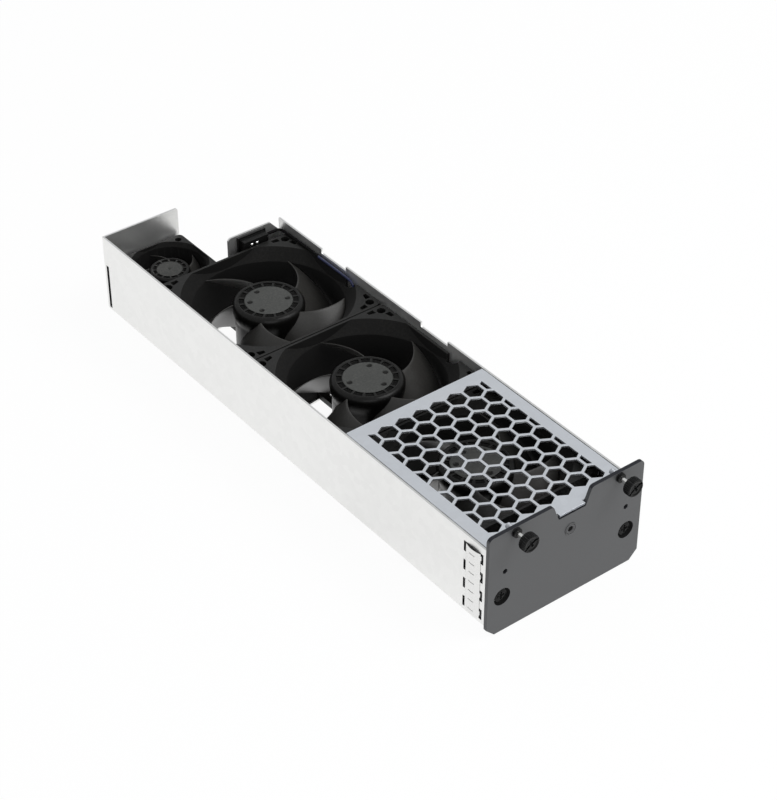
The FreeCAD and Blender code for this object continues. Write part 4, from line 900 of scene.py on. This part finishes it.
# The strip's inner side, made by Solidify, takes the second finish: painted shade between the strip and the
# wall.
gasket.data.materials.append(painted_shade_black)
edge_of_corner = np.empty(len(gasket.data.loops), np.int32)
gasket.data.loops.foreach_get("edge_index", edge_of_corner)
rim = np.bincount(edge_of_corner, minlength=len(gasket.data.edges)) == 1
gasket.data.edges.foreach_set("use_edge_sharp", rim)
wall = gasket.modifiers.new("strip_thickness", "SOLIDIFY")
wall.thickness = 0.22 * MM
wall.offset = 0.0
wall.material_offset = 1
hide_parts("finger_gasket")
print("gasket from z", round(low.z / MM, 1), "to", round(high.z / MM, 1), "with", len(slits), "slits")

# %% [markdown]
# ## Rear socket, its contacts and the lead
#
# The socket in the rear tab is a plain black moulding, so it is a dressed copy. Its contacts are
# bright blades with rounded noses: a square with soft corners carried along Y and narrowed at both
# ends. The rear fan's blue lead is a curve, because a thin round lead is what a bevelled curve
# draws best. It climbs out of the fan's side, runs along the right wall and ends at the socket.
# Only its first stretch is blue; from there on it is a matt black tube, painted shade where shade falls along
# the lead.

# %% Socket and contacts
socket = dressed_copy("connector_housing", "rear_socket", socket_plastic, 0.2)
for number in (1, 2):
    low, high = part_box(f"contact_{number}")
    x, y, z = middle(f"contact_{number}")
    along = np.linspace(low.y, high.y, 24)[:, None] / MM
    section = soften([(-0.8, -0.8), (0.8, -0.8), (0.8, 0.8), (-0.8, 0.8)], 0.2, 3)
    ends = np.minimum(along - low.y / MM, high.y / MM - along)
    wide = np.sqrt(np.clip(1 - (1 - np.clip(ends / 0.7, 0, 1)) ** 2, 0, 1))
    points = np.stack([x + section[:, 0][None] * wide, along + 0 * section[:, 0][None],
                       z + section[:, 1][None] * wide], -1)
    piece = mesh_piece(f"socket_blade_{number}", [grid(points, wrap_columns=True)], contact_metal)
    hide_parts(f"contact_{number}")
print("contacts at x", [round(middle(f"contact_{n}")[0], 1) for n in (1, 2)])

# %% Blue lead and its painted shade
low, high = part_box("fan_lead")
LEAD_RADIUS, PAINTED_SHADE_START = 0.7, 82.0
run_x, run_z = high.x / MM - LEAD_RADIUS, high.z / MM - LEAD_RADIUS
foot_y, back_y, end_x = low.y / MM + LEAD_RADIUS, high.y / MM - LEAD_RADIUS, low.x / MM


def round_lead(name, route, radius, coat):
    """A NURBS curve through the middle of the lead, with a round section."""
    curve = bpy.data.curves.new(name, "CURVE")
    curve.dimensions = "3D"
    spline = curve.splines.new("NURBS")
    spline.points.add(len(route) - 1)
    spline.points.foreach_set("co", np.c_[np.array(route) * MM, np.ones(len(route))].ravel())
    spline.order_u = 3
    spline.use_endpoint_u = True
    spline.resolution_u = 10
    curve.bevel_depth = radius * MM
    curve.bevel_resolution = 4
    curve.use_fill_caps = True
    lead = bpy.data.objects.new(name, curve)
    bpy.context.scene.collection.objects.link(lead)
    curve.materials.append(coat)
    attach(lead, "tray_assembly")
    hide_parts("fan_lead")


round_lead("blue_lead", [(run_x, foot_y, low.z / MM), (run_x, foot_y, 24.0), (run_x, foot_y, 38.5),
                         (run_x, foot_y + 0.1, run_z - 0.4), (run_x, foot_y + 6.5, run_z),
                         (run_x, PAINTED_SHADE_START - 2, run_z), (run_x, PAINTED_SHADE_START + 1, run_z)],
           LEAD_RADIUS - 0.01, lead_cover)
# Painted shade: the rest of the lead's run is a near-black tube in place of the blue lead.
round_lead("lead_painted_shade", [(run_x, PAINTED_SHADE_START, run_z), (run_x, PAINTED_SHADE_START + 3, run_z),
                           (run_x, foot_y + 40.0, run_z), (run_x, back_y - 6.5, run_z),
                           (run_x - 0.3, back_y, run_z), (run_x - 6.0, back_y, run_z),
                           (end_x, back_y, run_z)],
           LEAD_RADIUS, painted_shade_black)
print("lead from z", round(low.z / MM, 1), "up to", round(run_z, 1), "and back to y", round(back_y, 1))

# %% [markdown]
# ## Pieces inside the motors
#
# The rotor cups, windings, boards and bearings are hidden in this view, but the model can be taken
# apart and turned, so each of them still gets the finish of its real material.

# %% Finishes of the carried-over solids
INSIDE = {"rotor": rotor_steel, "bearing": bearing_bronze, "stator": copper_winding, "board": board_resin}
for name in FANS:
    for kind, coat in INSIDE.items():
        solid = nodes[f"{name}_{kind}"]
        solid.data.materials.clear()
        solid.data.materials.append(coat)
print("inside solids:", len(FANS) * len(INSIDE))

# %% [markdown]
# ## Floor and light
#
# The photograph is a cut-out on white. The floor and the world look white to the camera and in
# mirror reflections, while the lamps and the world's plain light stay low enough for colours to
# come out as they are written. The floor keeps a soft trace of the object's shadow.

# %% Floor
def seen_directly(tree, direct, mirrored):
    """A factor for rays from the camera, and another for mirror and see-through rays."""
    path = tree.nodes.new("ShaderNodeLightPath")
    mirror = math_node(tree, "MAXIMUM", path.outputs["Is Glossy Ray"], path.outputs["Is Transmission Ray"])
    return math_node(tree, "MAXIMUM", math_node(tree, "MULTIPLY", path.outputs["Is Camera Ray"], direct),
                     math_node(tree, "MULTIPLY", mirror, mirrored))


REACH, DROP = 6, -0.0005
floor_mesh = bpy.data.meshes.new("floor")
corners = [(REACH * sx, REACH * sy, DROP) for sx, sy in ((-1, -1), (1, -1), (1, 1), (-1, 1))]
floor_mesh.from_pydata(corners, [], [(0, 1, 2, 3)])
floor = bpy.data.objects.new("floor", floor_mesh)
bpy.context.scene.collection.objects.link(floor)
floor_paint = bpy.data.materials.new("floor_paint")
floor_paint.use_nodes = True
tree = floor_paint.node_tree
tree.nodes["Principled BSDF"].inputs["Base Color"].default_value = (0.88, 0.88, 0.88, 1.0)
tree.nodes["Principled BSDF"].inputs["Roughness"].default_value = 0.9
glow = tree.nodes.new("ShaderNodeEmission")
glow.inputs["Strength"].default_value = 1.04
mix = tree.nodes.new("ShaderNodeMixShader")
tree.links.new(seen_directly(tree, 0.9, 0.92), mix.inputs[0])
tree.links.new(tree.nodes["Principled BSDF"].outputs[0], mix.inputs[1])
tree.links.new(glow.outputs[0], mix.inputs[2])
tree.links.new(mix.outputs[0], tree.nodes["Material Output"].inputs["Surface"])
floor_mesh.materials.append(floor_paint)

# %% World and lamps
world = bpy.data.worlds.new("world")
bpy.context.scene.world = world
world.use_nodes = True
tree = world.node_tree
plain = tree.nodes["Background"]
plain.inputs["Color"].default_value = (0.96, 0.98, 1.0, 1.0)
plain.inputs["Strength"].default_value = 0.42
white = tree.nodes.new("ShaderNodeBackground")
white.inputs["Strength"].default_value = 1.04
mix = tree.nodes.new("ShaderNodeMixShader")
tree.links.new(seen_directly(tree, 1.0, 0.3), mix.inputs[0])
tree.links.new(plain.outputs[0], mix.inputs[1])
tree.links.new(white.outputs[0], mix.inputs[2])
tree.links.new(mix.outputs[0], tree.nodes["World Output"].inputs["Surface"])


def soft_lamp(name, place, power):
    """A square lamp that looks at the object."""
    lamp = bpy.data.lights.new(name, "AREA")
    lamp.size = 1.2
    lamp.energy = power
    holder = bpy.data.objects.new(name, lamp)
    holder.location = place
    holder.rotation_euler = (-Vector(place)).to_track_quat("-Z", "Y").to_euler()
    bpy.context.scene.collection.objects.link(holder)


soft_lamp("key_lamp", (0.9, -1.0, 1.7), 15.0)
soft_lamp("front_lamp", (-0.9, -1.7, 0.9), 5.0)
bpy.context.scene.view_settings.view_transform = "Standard"
print("lamps:", [lamp.name for lamp in bpy.data.lights])
